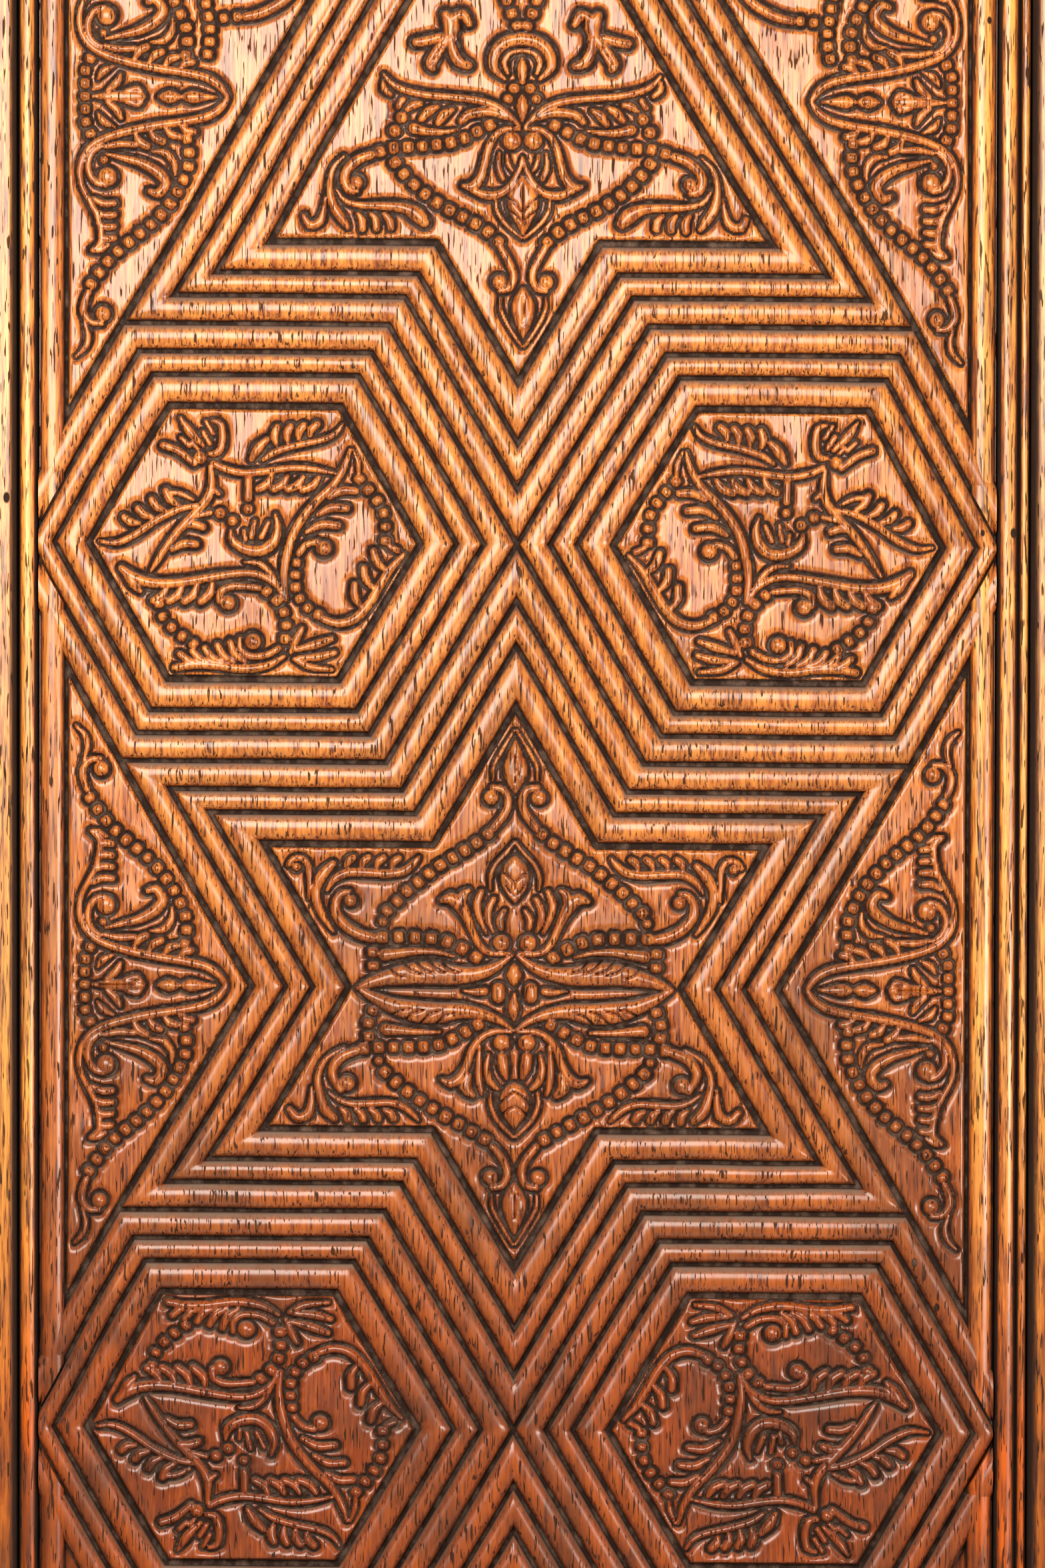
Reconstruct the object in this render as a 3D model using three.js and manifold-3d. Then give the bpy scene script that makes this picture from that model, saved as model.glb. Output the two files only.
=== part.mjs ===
// Carved wooden panel between two stiles, with pinned bead mouldings.
// Millimetres, +Z up. The carved front faces -Y and the flat back lies in the plane y = 0.
// X = 0 is the axis of the pattern. Heights of the carving are measured forward from the back.

import * as THREE from 'three';
import { mergeVertices } from 'three/addons/utils/BufferGeometryUtils.js';
import Module from 'manifold-3d';

const wasm = await Module();
wasm.setup();

// Overall sizes
const LENGTH = 600;
const OUTER_HALF_WIDTH = 240;
const STILE_FRONT = 27;
const JOINT_GAP = 0.3;

// Panel board: its edges, and the levels of the carving
const PANEL_LEFT = -178.2;
const PANEL_RIGHT = 179.7;
const GROOVE_FLOOR = 19.5;
const FIELD_LEVEL = 20.8;
const CARVING_LEVEL = 22.8;
const RIB_CREST = 24;
const EDGE_BEAD_WIDTH = 10.2;

// Mouldings, each with one width for every bead in its section, from the panel outwards
const LEFT_BEADS = [7.6];
const RIGHT_BEADS = [8.2, 4.2];
const REBATE_LEDGE = 12;
const STILE_EDGE_ROUND = 2.4;
const BEAD_STEPS = 5;

// Strapwork: six-pointed stars and hexagons on one lattice of lines
const ROW_PITCH = 166;
const STAR_ARM = 84.2;
const STAR_NOTCH = 97;
const STAR_ROW = -76.5;
const RIB_WIDTHS = [10.5, 8.6, 11.3];
const RIB_GROOVE = 1.0;
const RIB_SHOULDER_SHARE = 0.22;
const RIB_SHOULDER_RISE = 0.82;
const FIELD_MARGIN = 1.6;
const LINE_DROOP = -0.008;

// Carving: how far a ridge is rooted in the ground, and how finely it is stepped
const ROOT_DEPTH = 1.2;
const STEP_LENGTH = 18;
const BOSS_SIDES = 6;
const RIDGE_TIP_SHARE = 0.3;
const RIDGE_SWELL_POWER = 0.6;
const CUT_ALLOWANCE = 20;

const HEXAGON_ROW = STAR_ROW + ROW_PITCH;
const LOWER_HEXAGON_ROW = STAR_ROW - ROW_PITCH;
const TOP_ROW = STAR_ROW + 2 * ROW_PITCH;
const SLOPE = ROW_PITCH / STAR_NOTCH;
const STAR_TIP_X = STAR_NOTCH * (1 + STAR_ARM / ROW_PITCH);
const STAR_INNER_X = STAR_NOTCH * (1 - STAR_ARM / ROW_PITCH);
const FIELD_INSET = RIB_WIDTHS.reduce((sum, width) => sum + width, 0);
const SPANDREL_LEFT = PANEL_LEFT + EDGE_BEAD_WIDTH;
const SPANDREL_RIGHT = PANEL_RIGHT - EDGE_BEAD_WIDTH;

// Solids from geometries, and back

function solidFromGeometry(geometry) {
  const bare = geometry.clone();
  bare.deleteAttribute('normal');
  bare.deleteAttribute('uv');
  const merged = mergeVertices(bare, 1e-4);
  const vertProperties = Float32Array.from(merged.attributes.position.array);
  const triVerts = Uint32Array.from(merged.index.array);
  return new wasm.Manifold(new wasm.Mesh({ numProp: 3, vertProperties, triVerts }));
}

function signedVolume(vertices, faces) {
  let volume = 0;
  for (const [a, b, c] of faces) {
    const [p, q, r] = [vertices[a], vertices[b], vertices[c]];
    volume += p[0] * (q[1] * r[2] - q[2] * r[1]);
    volume += p[1] * (q[2] * r[0] - q[0] * r[2]);
    volume += p[2] * (q[0] * r[1] - q[1] * r[0]);
  }
  return volume;
}

function solidFromFaces(vertices, faces) {
  const outward = signedVolume(vertices, faces) > 0;
  const geometry = new THREE.BufferGeometry();
  geometry.setAttribute('position', new THREE.Float32BufferAttribute(vertices.flat(), 3));
  geometry.setIndex(faces.flatMap(([a, b, c]) => (outward ? [a, b, c] : [a, c, b])));
  return solidFromGeometry(geometry);
}

function geometryFromSolid(solid) {
  const mesh = solid.getMesh();
  const geometry = new THREE.BufferGeometry();
  geometry.setAttribute('position', new THREE.Float32BufferAttribute(mesh.vertProperties, 3));
  geometry.setIndex(Array.from(mesh.triVerts));
  geometry.computeVertexNormals();
  return geometry;
}

function box(left, right, front, bottom, top) {
  const geometry = new THREE.BoxGeometry(right - left, front, top - bottom);
  geometry.translate((left + right) / 2, -front / 2, (bottom + top) / 2);
  return solidFromGeometry(geometry);
}

// Straight pieces: a section in X and height, run along the whole length

function strip(outline) {
  const points = outline.map(([x, height]) => new THREE.Vector2(x, -height));
  const geometry = new THREE.ExtrudeGeometry(new THREE.Shape(points), {
    depth: LENGTH,
    bevelEnabled: false,
  });
  geometry.translate(0, 0, -LENGTH / 2);
  return solidFromGeometry(geometry);
}

function beadArc(start, width, base, crest) {
  const points = [];
  for (let i = 0; i <= BEAD_STEPS; i += 1) {
    const angle = (Math.PI * i) / BEAD_STEPS;
    const across = start + (width * (1 - Math.cos(angle))) / 2;
    points.push([across, base + (crest - base) * Math.sin(angle)]);
  }
  return points;
}

function moulding(edge, side, beadWidths) {
  const outline = [[edge, REBATE_LEDGE + JOINT_GAP]];
  let reach = 0;
  for (const width of beadWidths) {
    const arc = beadArc(reach, width, GROOVE_FLOOR, RIB_CREST);
    outline.push(...arc.map(([across, height]) => [edge + side * across, height]));
    reach += width;
  }
  outline.push([edge + side * reach, REBATE_LEDGE + JOINT_GAP]);
  return strip(outline);
}

function stile(panelEdge, side, beadWidths) {
  const reach = beadWidths.reduce((sum, width) => sum + width, 0);
  const ledgeStart = panelEdge + side * JOINT_GAP;
  const wall = panelEdge + side * (reach + 2 * JOINT_GAP);
  const outer = side * OUTER_HALF_WIDTH;
  const edgeMiddle = STILE_EDGE_ROUND * (1 - Math.SQRT1_2);
  return strip([
    [ledgeStart, 0],
    [ledgeStart, REBATE_LEDGE],
    [wall, REBATE_LEDGE],
    [wall, STILE_FRONT - STILE_EDGE_ROUND],
    [wall + side * edgeMiddle, STILE_FRONT - edgeMiddle],
    [wall + side * STILE_EDGE_ROUND, STILE_FRONT],
    [outer, STILE_FRONT],
    [outer, 0],
  ]);
}

// Strapwork: outlines in X and Z, offset inwards with mitred corners

function offsetOutline(outline, inset) {
  const count = outline.length;
  const lines = outline.map(([x0, z0], i) => {
    const [x1, z1] = outline[(i + 1) % count];
    const length = Math.hypot(x1 - x0, z1 - z0);
    const normal = [-(z1 - z0) / length, (x1 - x0) / length];
    return { normal, reach: normal[0] * x0 + normal[1] * z0 + inset };
  });
  return lines.map((line, i) => {
    const before = lines[(i + count - 1) % count];
    const determinant = before.normal[0] * line.normal[1] - before.normal[1] * line.normal[0];
    return [
      (before.reach * line.normal[1] - line.reach * before.normal[1]) / determinant,
      (before.normal[0] * line.reach - line.normal[0] * before.reach) / determinant,
    ];
  });
}

function droop([x, z]) {
  return [x, z + LINE_DROOP * x];
}

function ringVertices(outline, inset, height) {
  return offsetOutline(outline, inset).map((point) => {
    const [x, z] = droop(point);
    return [x, -height, z];
  });
}

function wallFaces(loops, count, closed) {
  const faces = [];
  const last = closed ? loops : loops - 1;
  for (let loop = 0; loop < last; loop += 1) {
    const next = (loop + 1) % loops;
    for (let i = 0; i < count; i += 1) {
      const j = (i + 1) % count;
      const quad = [loop * count + i, loop * count + j, next * count + j, next * count + i];
      faces.push([quad[0], quad[1], quad[2]], [quad[0], quad[2], quad[3]]);
    }
  }
  return faces;
}

function rib(outline, inset, width) {
  const root = GROOVE_FLOOR - ROOT_DEPTH;
  const near = inset + RIB_GROOVE;
  const far = inset + width - RIB_GROOVE;
  const shoulder = RIB_SHOULDER_SHARE * width;
  const shoulderHeight = GROOVE_FLOOR + RIB_SHOULDER_RISE * (RIB_CREST - GROOVE_FLOOR);
  const profile = [
    [near, root],
    [near + shoulder, shoulderHeight],
    [inset + width / 2, RIB_CREST],
    [far - shoulder, shoulderHeight],
    [far, root],
  ];
  const vertices = profile.flatMap(([across, height]) => ringVertices(outline, across, height));
  return solidFromFaces(vertices, wallFaces(profile.length, outline.length, true));
}

function ribs(outline) {
  let inset = 0;
  return RIB_WIDTHS.map((width) => {
    const ring = rib(outline, inset, width);
    inset += width;
    return ring;
  });
}

function pad(outline, inset) {
  const count = outline.length;
  const foot = ringVertices(outline, inset, GROOVE_FLOOR - ROOT_DEPTH);
  const top = ringVertices(outline, inset + FIELD_MARGIN, FIELD_LEVEL);
  const flat = offsetOutline(outline, inset).map(([x, z]) => new THREE.Vector2(x, z));
  const caps = THREE.ShapeUtils.triangulateShape(flat, []);
  const faces = wallFaces(2, count, false);
  caps.forEach(([a, b, c]) => {
    faces.push([c, b, a], [count + a, count + b, count + c]);
  });
  return solidFromFaces([...foot, ...top], faces);
}

function shifted(outline, x, z) {
  return outline.map(([u, v]) => [x + u, z + v]);
}

const HEXAGON_HALF_HEIGHT = ROW_PITCH - STAR_ARM;
const HEXAGON_HALF_EDGE = STAR_NOTCH - HEXAGON_HALF_HEIGHT / SLOPE;
const HEXAGON = [
  [STAR_NOTCH, 0],
  [HEXAGON_HALF_EDGE, HEXAGON_HALF_HEIGHT],
  [-HEXAGON_HALF_EDGE, HEXAGON_HALF_HEIGHT],
  [-STAR_NOTCH, 0],
  [-HEXAGON_HALF_EDGE, -HEXAGON_HALF_HEIGHT],
  [HEXAGON_HALF_EDGE, -HEXAGON_HALF_HEIGHT],
];

const STAR = [
  [0, ROW_PITCH],
  [-STAR_INNER_X, STAR_ARM],
  [-STAR_TIP_X, STAR_ARM],
  [-STAR_NOTCH, 0],
  [-STAR_TIP_X, -STAR_ARM],
  [-STAR_INNER_X, -STAR_ARM],
  [0, -ROW_PITCH],
  [STAR_INNER_X, -STAR_ARM],
  [STAR_TIP_X, -STAR_ARM],
  [STAR_NOTCH, 0],
  [STAR_TIP_X, STAR_ARM],
  [STAR_INNER_X, STAR_ARM],
];

// The figure at the head of the panel is a star without side notches.
const HEAD_FIGURE = STAR.filter((point, i) => ![1, 2, 3, 9, 10, 11].includes(i));

// A spandrel is a triangle between the edge bead and the notched side of a star.
function spandrelOutline(edge) {
  const side = Math.sign(edge);
  const reach = Math.abs(edge);
  const tip = (reach - STAR_NOTCH) * SLOPE;
  const outline = [[-reach, tip], [-reach, -tip], [-STAR_NOTCH, 0]];
  return side < 0 ? outline : outline.map(([x, z]) => [-x, z]).reverse();
}

// Beside the head figure the spandrel opens upwards, past the cut end of the board.
function headSpandrelOutline(edge) {
  const side = Math.sign(edge);
  const reach = Math.abs(edge);
  const tip = (reach - STAR_NOTCH) * SLOPE;
  const top = LENGTH / 2 - TOP_ROW + CUT_ALLOWANCE;
  const outline = [[-reach, top], [-reach, -tip], [top / SLOPE - STAR_NOTCH, top]];
  return side < 0 ? outline : outline.map(([x, z]) => [-x, z]).reverse();
}

// Carving: ridges along curves, and bosses. Sizes are from the centre of each field.

function ridge(width, ...path) {
  return { path, width };
}

function boss(radius, u, v) {
  return { boss: [u, v], radius };
}

const HEXAGON_CARVING = [
  ridge(9, [-49, -10], [-36, -17], [-16, -15], [2, -12], [11, -21]),
  ridge(4.5, [-12, -20], [-3, -16], [8, -21], [12, -35]),
  ridge(8, [11, -42], [-4, -45], [-16, -43], [-29, -46]),
  ridge(4, [-36, -22], [-31, -31], [-22, -38]),
  ridge(7, [12, -22], [11, -8], [19, 9], [30, 20], [35, 34]),
  ridge(4, [38, 24], [47, 15], [49, 1]),
  ridge(4.5, [24, 1], [16, -8], [17, -20], [28, -28], [40, -24], [55, -5]),
  ridge(8, [14, -41], [21, -36], [29, -43]),
  ridge(5.5, [-8, 4], [-4, -1], [3, -3], [8, 2], [8, 10]),
  ridge(4.5, [-2, 24], [-2, 10]),
  ridge(8, [-16, 29], [-1, 25], [14, 25], [30, 26]),
  ridge(8, [0, 31], [8, 37], [21, 40], [33, 44]),
  ridge(6, [-33, 36], [-24, 33], [-19, 31]),
  ridge(8, [-27, 47], [-17, 35]),
  ridge(6, [-12, 46], [-12, 36], [-16, 33]),
  ridge(8, [-16, 28], [-17, 16], [-28, 3], [-34, -10]),
  ridge(9, [-57, 1], [-42, 9], [-22, 15]),
  boss(3.6, -9, -22),
  boss(3.8, 0, -37),
  boss(3.6, 26, -2),
];

const STAR_CARVING = [
  ridge(10, [0, 14], [-14, 8], [-36, 8], [-50, 4], [-58, 0]),
  ridge(5, [-48, 14], [-36, 15], [-23, 15]),
  ridge(4.5, [-53, 7], [-53, 16]),
  ridge(4.5, [-15, 12], [-27, 19], [-46, 21], [-62, 23], [-68, 31], [-64, 37]),
  ridge(7, [-66, 24], [-73, 37], [-64, 45], [-50, 45], [-36, 49]),
  ridge(4.5, [-74, 38], [-76, 47], [-82, 46]),
  ridge(4.5, [-49, 26], [-40, 39], [-18, 52], [-4, 63], [-4, 73], [-9, 73]),
  ridge(8, [-8, 14], [-14, 23], [-18, 34], [-26, 35]),
  ridge(5, [-9, 24], [-11, 38]),
  ridge(5, [-4, 25], [-4, 35]),
  boss(4, -4.5, 18),
  boss(3.4, -63, 34),
];

// Motifs on the axis of a star, not doubled by the left and right halves
const STAR_AXIS_CARVING = [
  ridge(14, [0, 36], [0, 54]),
  ridge(12, [0, 76], [0, 94]),
];

const STAR_HEART = [
  ridge(6, [0, 9], [0, 2]),
  ridge(5, [0, -4], [0, -12]),
  boss(3.8, -6, -1),
  boss(3.8, 6, -1),
];

const HEAD_CARVING = [
  ridge(9, [1, -9], [-12, -3], [-34, -2], [-49, 8]),
  ridge(4.5, [-45, -13], [-42, -5]),
  ridge(4.5, [-11, -10], [-28, -17], [-50, -20], [-64, -28], [-59, -34]),
  ridge(7, [-62, -23], [-69, -34], [-60, -42], [-46, -43], [-32, -46]),
  ridge(4.5, [-71, -37], [-73, -46], [-79, -45]),
  ridge(4.5, [-45, -24], [-32, -37], [-8, -53], [-3, -63], [-5, -69], [-8, -68]),
  ridge(8, [-4, -12], [-11, -22], [-14, -32], [-20, -33]),
  ridge(5, [-7, -22], [-5, -32]),
  ridge(7, [-8, 8], [-7, 19], [0, 23]),
  ridge(8, [-37, 22], [-27, 25], [-19, 33]),
  ridge(7, [-31, 13], [-24, 24]),
  ridge(6, [-20, 12], [-22, 24]),
  ridge(4.5, [-2, 38], [-1, 27]),
  boss(3.8, -2, -15),
];

const HEAD_AXIS_CARVING = [
  ridge(13, [1, -30], [1, -50]),
  ridge(11, [0, -72], [0, -92]),
  ridge(5, [1, 18], [1, 0]),
];

const SPANDREL_CARVING = [
  ridge(3.5, [5, 96], [9, 90], [7, 82]),
  ridge(4, [13, 84], [7, 79], [10, 70]),
  ridge(4.5, [10, 70], [24, 54], [40, 38], [47, 24], [46, 15]),
  ridge(7.5, [11, 58], [15, 47], [8, 34], [7, 22], [24, 13], [46, 9], [59, 1.5]),
  ridge(4, [14, 33], [9, 26], [16, 18], [27, 18]),
  ridge(5, [15, 21], [29, 24], [37, 30], [33, 36]),
  ridge(4, [10, 14], [8, 2]),
  boss(3.3, 14, 81),
  boss(4, 17, 29.5),
];

const SPANDREL_AXIS_CARVING = [ridge(8, [12, 0], [30, 0]), ridge(6, [37, 0], [55, 0])];

// Copies of a field's carving, mirrored left to right and top to bottom as given

function placed(carving, x, z, mirrorX, mirrorZ) {
  const place = ([u, v]) => droop([x + mirrorX * u, z + mirrorZ * v]);
  return carving.map((stroke) => {
    if (stroke.boss) {
      return { ...stroke, boss: place(stroke.boss) };
    }
    return { ...stroke, path: stroke.path.map(place) };
  });
}

function ridgeSolid({ path, width }) {
  const curve = new THREE.CatmullRomCurve3(path.map(([x, z]) => new THREE.Vector3(x, 0, z)));
  const steps = Math.max(2, Math.round(curve.getLength() / STEP_LENGTH));
  const vertices = [];
  for (let i = 0; i <= steps; i += 1) {
    const share = i / steps;
    const point = curve.getPointAt(share);
    const along = curve.getTangentAt(share);
    const bulge = Math.sin(Math.PI * share) ** RIDGE_SWELL_POWER;
    const swell = RIDGE_TIP_SHARE + (1 - RIDGE_TIP_SHARE) * bulge;
    const half = (width * swell) / 2;
    const crest = FIELD_LEVEL + (CARVING_LEVEL - FIELD_LEVEL) * ((1 + swell) / 2);
    const root = -(FIELD_LEVEL - ROOT_DEPTH);
    vertices.push([point.x - along.z * half, root, point.z + along.x * half]);
    vertices.push([point.x, -crest, point.z]);
    vertices.push([point.x + along.z * half, root, point.z - along.x * half]);
  }
  const sides = 3;
  const faces = wallFaces(steps + 1, sides, false);
  const end = steps * sides;
  faces.push([2, 1, 0], [end, end + 1, end + 2]);
  return solidFromFaces(vertices, faces);
}

function bossSolid({ boss: [x, z], radius }) {
  const root = ROOT_DEPTH - FIELD_LEVEL;
  const vertices = [[x, root, z], [x, -CARVING_LEVEL, z]];
  const faces = [];
  for (let i = 0; i < BOSS_SIDES; i += 1) {
    const angle = (2 * Math.PI * i) / BOSS_SIDES;
    const foot = 2 + i;
    const nextFoot = 2 + ((i + 1) % BOSS_SIDES);
    vertices.push([x + radius * Math.cos(angle), root, z + radius * Math.sin(angle)]);
    faces.push([0, nextFoot, foot], [foot, nextFoot, 1]);
  }
  return solidFromFaces(vertices, faces);
}

function strokeSolid(stroke) {
  return stroke.boss ? bossSolid(stroke) : ridgeSolid(stroke);
}

// The panel: board, strapwork, field grounds and carving joined, then trimmed to the board

function strapworkSolids() {
  const hexagonCentres = [HEXAGON_ROW, LOWER_HEXAGON_ROW].flatMap((row) => [
    [-STAR_NOTCH, row],
    [STAR_NOTCH, row],
  ]);
  const outlines = [
    ...hexagonCentres.map(([x, z]) => shifted(HEXAGON, x, z)),
    shifted(STAR, 0, STAR_ROW),
    shifted(STAR, 0, STAR_ROW - 2 * ROW_PITCH),
    shifted(HEAD_FIGURE, 0, TOP_ROW),
  ];
  return outlines.flatMap((outline) => [...ribs(outline), pad(outline, FIELD_INSET)]);
}

function spandrelSolids() {
  return [SPANDREL_LEFT, SPANDREL_RIGHT].flatMap((edge) => [
    pad(shifted(spandrelOutline(edge), 0, STAR_ROW), 0),
    pad(shifted(headSpandrelOutline(edge), 0, TOP_ROW), 0),
  ]);
}

function edgeBeads() {
  return [PANEL_LEFT, PANEL_RIGHT - EDGE_BEAD_WIDTH].map((start) => {
    const arc = beadArc(start, EDGE_BEAD_WIDTH, GROOVE_FLOOR - ROOT_DEPTH, RIB_CREST);
    return strip(arc);
  });
}

function carving() {
  const strokes = [];
  for (const side of [1, -1]) {
    strokes.push(...placed(HEXAGON_CARVING, -side * STAR_NOTCH, HEXAGON_ROW, side, 1));
    strokes.push(...placed(HEXAGON_CARVING, -side * STAR_NOTCH, LOWER_HEXAGON_ROW, side, -1));
    strokes.push(...placed(STAR_CARVING, 0, STAR_ROW, side, 1));
    strokes.push(...placed(STAR_CARVING, 0, STAR_ROW, side, -1));
    strokes.push(...placed(STAR_AXIS_CARVING, 0, STAR_ROW, 1, side));
    strokes.push(...placed(HEAD_CARVING, 0, TOP_ROW, side, 1));
    const edge = side > 0 ? SPANDREL_LEFT : SPANDREL_RIGHT;
    for (const row of [STAR_ROW, TOP_ROW]) {
      strokes.push(...placed(SPANDREL_CARVING, edge, row, side, -1));
      strokes.push(...placed(SPANDREL_CARVING, edge, row, side, 1));
      strokes.push(...placed(SPANDREL_AXIS_CARVING, edge, row, side, 1));
    }
  }
  strokes.push(...placed(STAR_HEART, 0, STAR_ROW, 1, 1));
  strokes.push(...placed(HEAD_AXIS_CARVING, 0, TOP_ROW, 1, 1));
  const outOfReach = LENGTH / 2 + CUT_ALLOWANCE;
  return strokes
    .filter((stroke) => (stroke.path ?? [stroke.boss]).some(([, z]) => Math.abs(z) < outOfReach))
    .map(strokeSolid);
}

function carvedPanel() {
  const half = LENGTH / 2;
  const board = box(PANEL_LEFT, PANEL_RIGHT, GROOVE_FLOOR, -half, half);
  const additions = [...strapworkSolids(), ...spandrelSolids(), ...edgeBeads(), ...carving()];
  const joined = additions.reduce((whole, piece) => whole.add(piece), board);
  return joined.intersect(box(PANEL_LEFT, PANEL_RIGHT, RIB_CREST + 1, -half, half));
}

// Assembly

function wood(color) {
  return new THREE.MeshStandardMaterial({ color, roughness: 0.4, metalness: 0 });
}

const group = new THREE.Group();

function addPiece(name, solid, color) {
  const mesh = new THREE.Mesh(geometryFromSolid(solid), wood(color));
  mesh.name = name;
  group.add(mesh);
}

addPiece('carved_panel', carvedPanel(), 0xb5612b);
addPiece('left_moulding', moulding(PANEL_LEFT - JOINT_GAP, -1, LEFT_BEADS), 0xb8632c);
addPiece('right_moulding', moulding(PANEL_RIGHT + JOINT_GAP, 1, RIGHT_BEADS), 0xc87430);
addPiece('left_stile', stile(PANEL_LEFT, -1, LEFT_BEADS), 0xd29450);
addPiece('right_stile', stile(PANEL_RIGHT, 1, RIGHT_BEADS), 0xb96a30);

export default group;
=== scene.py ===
"""Looks of a carved wooden panel: strapwork, relief carving, mouldings, stiles and a plain stage."""
import math
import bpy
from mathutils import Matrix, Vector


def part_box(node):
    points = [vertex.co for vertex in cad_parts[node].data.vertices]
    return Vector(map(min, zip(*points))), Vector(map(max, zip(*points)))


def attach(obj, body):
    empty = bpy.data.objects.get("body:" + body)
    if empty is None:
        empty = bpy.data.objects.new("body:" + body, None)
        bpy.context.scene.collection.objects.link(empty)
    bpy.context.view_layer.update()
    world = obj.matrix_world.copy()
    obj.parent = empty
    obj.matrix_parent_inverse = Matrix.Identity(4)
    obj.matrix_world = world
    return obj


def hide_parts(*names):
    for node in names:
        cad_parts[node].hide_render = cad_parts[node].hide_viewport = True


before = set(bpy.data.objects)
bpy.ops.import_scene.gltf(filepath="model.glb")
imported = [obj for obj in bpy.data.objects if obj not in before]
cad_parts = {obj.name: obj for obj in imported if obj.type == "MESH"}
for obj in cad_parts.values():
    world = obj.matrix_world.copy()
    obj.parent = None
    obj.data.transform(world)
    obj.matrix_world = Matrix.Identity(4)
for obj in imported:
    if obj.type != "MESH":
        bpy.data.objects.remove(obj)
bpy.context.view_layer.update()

from types import SimpleNamespace

import bpy
import numpy as np

bl_info = {
    "name": "Carved Wooden Panel",
    "version": (1, 0, 0),
    "blender": (4, 5, 0),
    "location": "View3D > Sidebar > Carved Panel",
    "description": "Builds a carved hardwood panel with star and hexagon strapwork between two stiles",
    "category": "Add Mesh",
}

MM = 0.001
PANEL_LOW, PANEL_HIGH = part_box("carved_panel")
LEFT_STILE_LOW, LEFT_STILE_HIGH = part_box("left_stile")
RIGHT_STILE_LOW, RIGHT_STILE_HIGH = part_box("right_stile")
LEFT_STRIP_LOW, LEFT_STRIP_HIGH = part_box("left_moulding")
RIGHT_STRIP_LOW, RIGHT_STRIP_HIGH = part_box("right_moulding")

# Edges of the carved board, in millimetres
BOARD_LEFT, BOARD_RIGHT = PANEL_LOW[0] / MM, PANEL_HIGH[0] / MM
BOARD_FOOT, BOARD_HEAD = PANEL_LOW[2] / MM, PANEL_HIGH[2] / MM
SIDES = ((-1, "left"), (1, "right"))


def linear_colour(hex_value):
    """Linear red, green and blue of an sRGB hex value."""
    channels = [int(hex_value[i:i + 2], 16) / 255 for i in (1, 3, 5)]
    return [c / 12.92 if c <= 0.04045 else ((c + 0.055) / 1.055) ** 2.4 for c in channels]


def length_property(name, description, millimetres):
    """A length setting whose default is given in millimetres."""
    return bpy.props.FloatProperty(
        name=name, description=description, default=millimetres * MM, unit="LENGTH", precision=5
    )


def colour_property(name, description, hex_value):
    """A colour setting whose default is given as an sRGB hex value."""
    return bpy.props.FloatVectorProperty(
        name=name, description=description, default=linear_colour(hex_value), subtype="COLOR", size=3
    )


class CarvedPanelSizes(bpy.types.PropertyGroup):
    """Driving sizes of the panel."""

    row_pitch: length_property("Row pitch", "Height between rows of stars and hexagons", 166)
    star_arm: length_property("Star arm", "Height of a star's arm line above its centre", 84.2)
    star_notch: length_property("Star notch", "Distance of a star's side notch from its centre", 97)
    star_row: length_property("Star row", "Height of the whole star's centre above the origin", -76.5)
    outer_rib: length_property("Outer rib", "Width of the outer rib of the strapwork", 10.5)
    middle_rib: length_property("Middle rib", "Width of the middle rib of the strapwork", 8.6)
    inner_rib: length_property("Inner rib", "Width of the inner rib of the strapwork", 11.3)
    edge_bead: length_property("Edge bead", "Width of the bead along each long edge of the board", 10.2)
    groove: length_property("Groove", "Width of the groove between two ribs", 1.4)
    rib_crest: length_property("Rib crest", "Height of the rib crests in front of the back", 24)
    groove_floor: length_property("Groove floor", "Height of the groove floors in front of the back", 19.4)
    ground: length_property("Ground", "Height of the carved fields' ground in front of the back", 22.2)
    carving_foot: length_property("Carving foot", "Height of the outlines cut around the carving", 20.2)
    board_front: length_property("Board front", "Height of the plain board behind the carving", 17.5)
    grid_step: length_property("Grid step", "Spacing of the points of a carved field", 0.57)


class CarvedPanelColours(bpy.types.PropertyGroup):
    """Colours of the woods and of the stage."""

    # The pale crest colours are a painted highlight as well as wear
    highlit_worn_top: colour_property("Worn crests, top", "Crests worn pale in the upper half", "#cc843e")
    body_top: colour_property("Wood, top", "Golden brown wood of the upper half", "#bb6620")
    highlit_worn_foot: colour_property("Worn crests, foot", "Crests in the lower half", "#a04e1c")
    body_foot: colour_property("Wood, foot", "Red-brown wood of the lower half", "#722806")
    # The flank and deep colours also paint shade on the sides and feet of the carving
    flank: colour_property("Flanks", "Orange-brown sides of the carving", "#883c11")
    deep: colour_property("Deep sides", "Dark brown feet of the carving", "#3e251a")
    # The glaze darkens the hollows as glaze and painted shade
    glaze: colour_property("Glaze", "Dark glaze left in the hollows", "#281b15")
    dust: colour_property("Dust", "Grey dust in the grooves and on the sides that face up", "#745c4e")
    # The pale moulding crests are a painted highlight as well as wear
    strip_highlit_worn: colour_property("Worn moulding, top", "Crests of the mouldings in the upper half", "#e0a04a")
    strip_body: colour_property("Moulding wood, top", "Golden wood of the mouldings", "#c06a1a")
    strip_highlit_worn_foot: colour_property("Worn moulding, foot", "Crests of the mouldings at the foot", "#c85a0e")
    strip_body_foot: colour_property("Moulding wood, foot", "Orange wood of the mouldings", "#a0440a")
    stile_worn: colour_property("Pale stile wood, top", "Pale faces of the stiles at the top", "#dc9c44")
    stile_body: colour_property("Stile wood, top", "Darker streaks of the stiles", "#b06c26")
    stile_worn_foot: colour_property("Pale stile wood, foot", "Faces of the stiles at the foot", "#c0681f")
    stile_body_foot: colour_property("Stile wood, foot", "Darker streaks at the foot", "#964a16")
    floor: colour_property("Floor", "Plain pale floor", "#d9d6d0")


def sizes():
    """The panel's driving sizes, in millimetres."""
    group = bpy.context.scene.carved_panel_sizes
    names = group.bl_rna.properties.keys()
    return SimpleNamespace(**{n: getattr(group, n) / MM for n in names if n not in ("rna_type", "name")})


# Outlines of the strapwork, in millimetres from the centre of each figure

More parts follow.
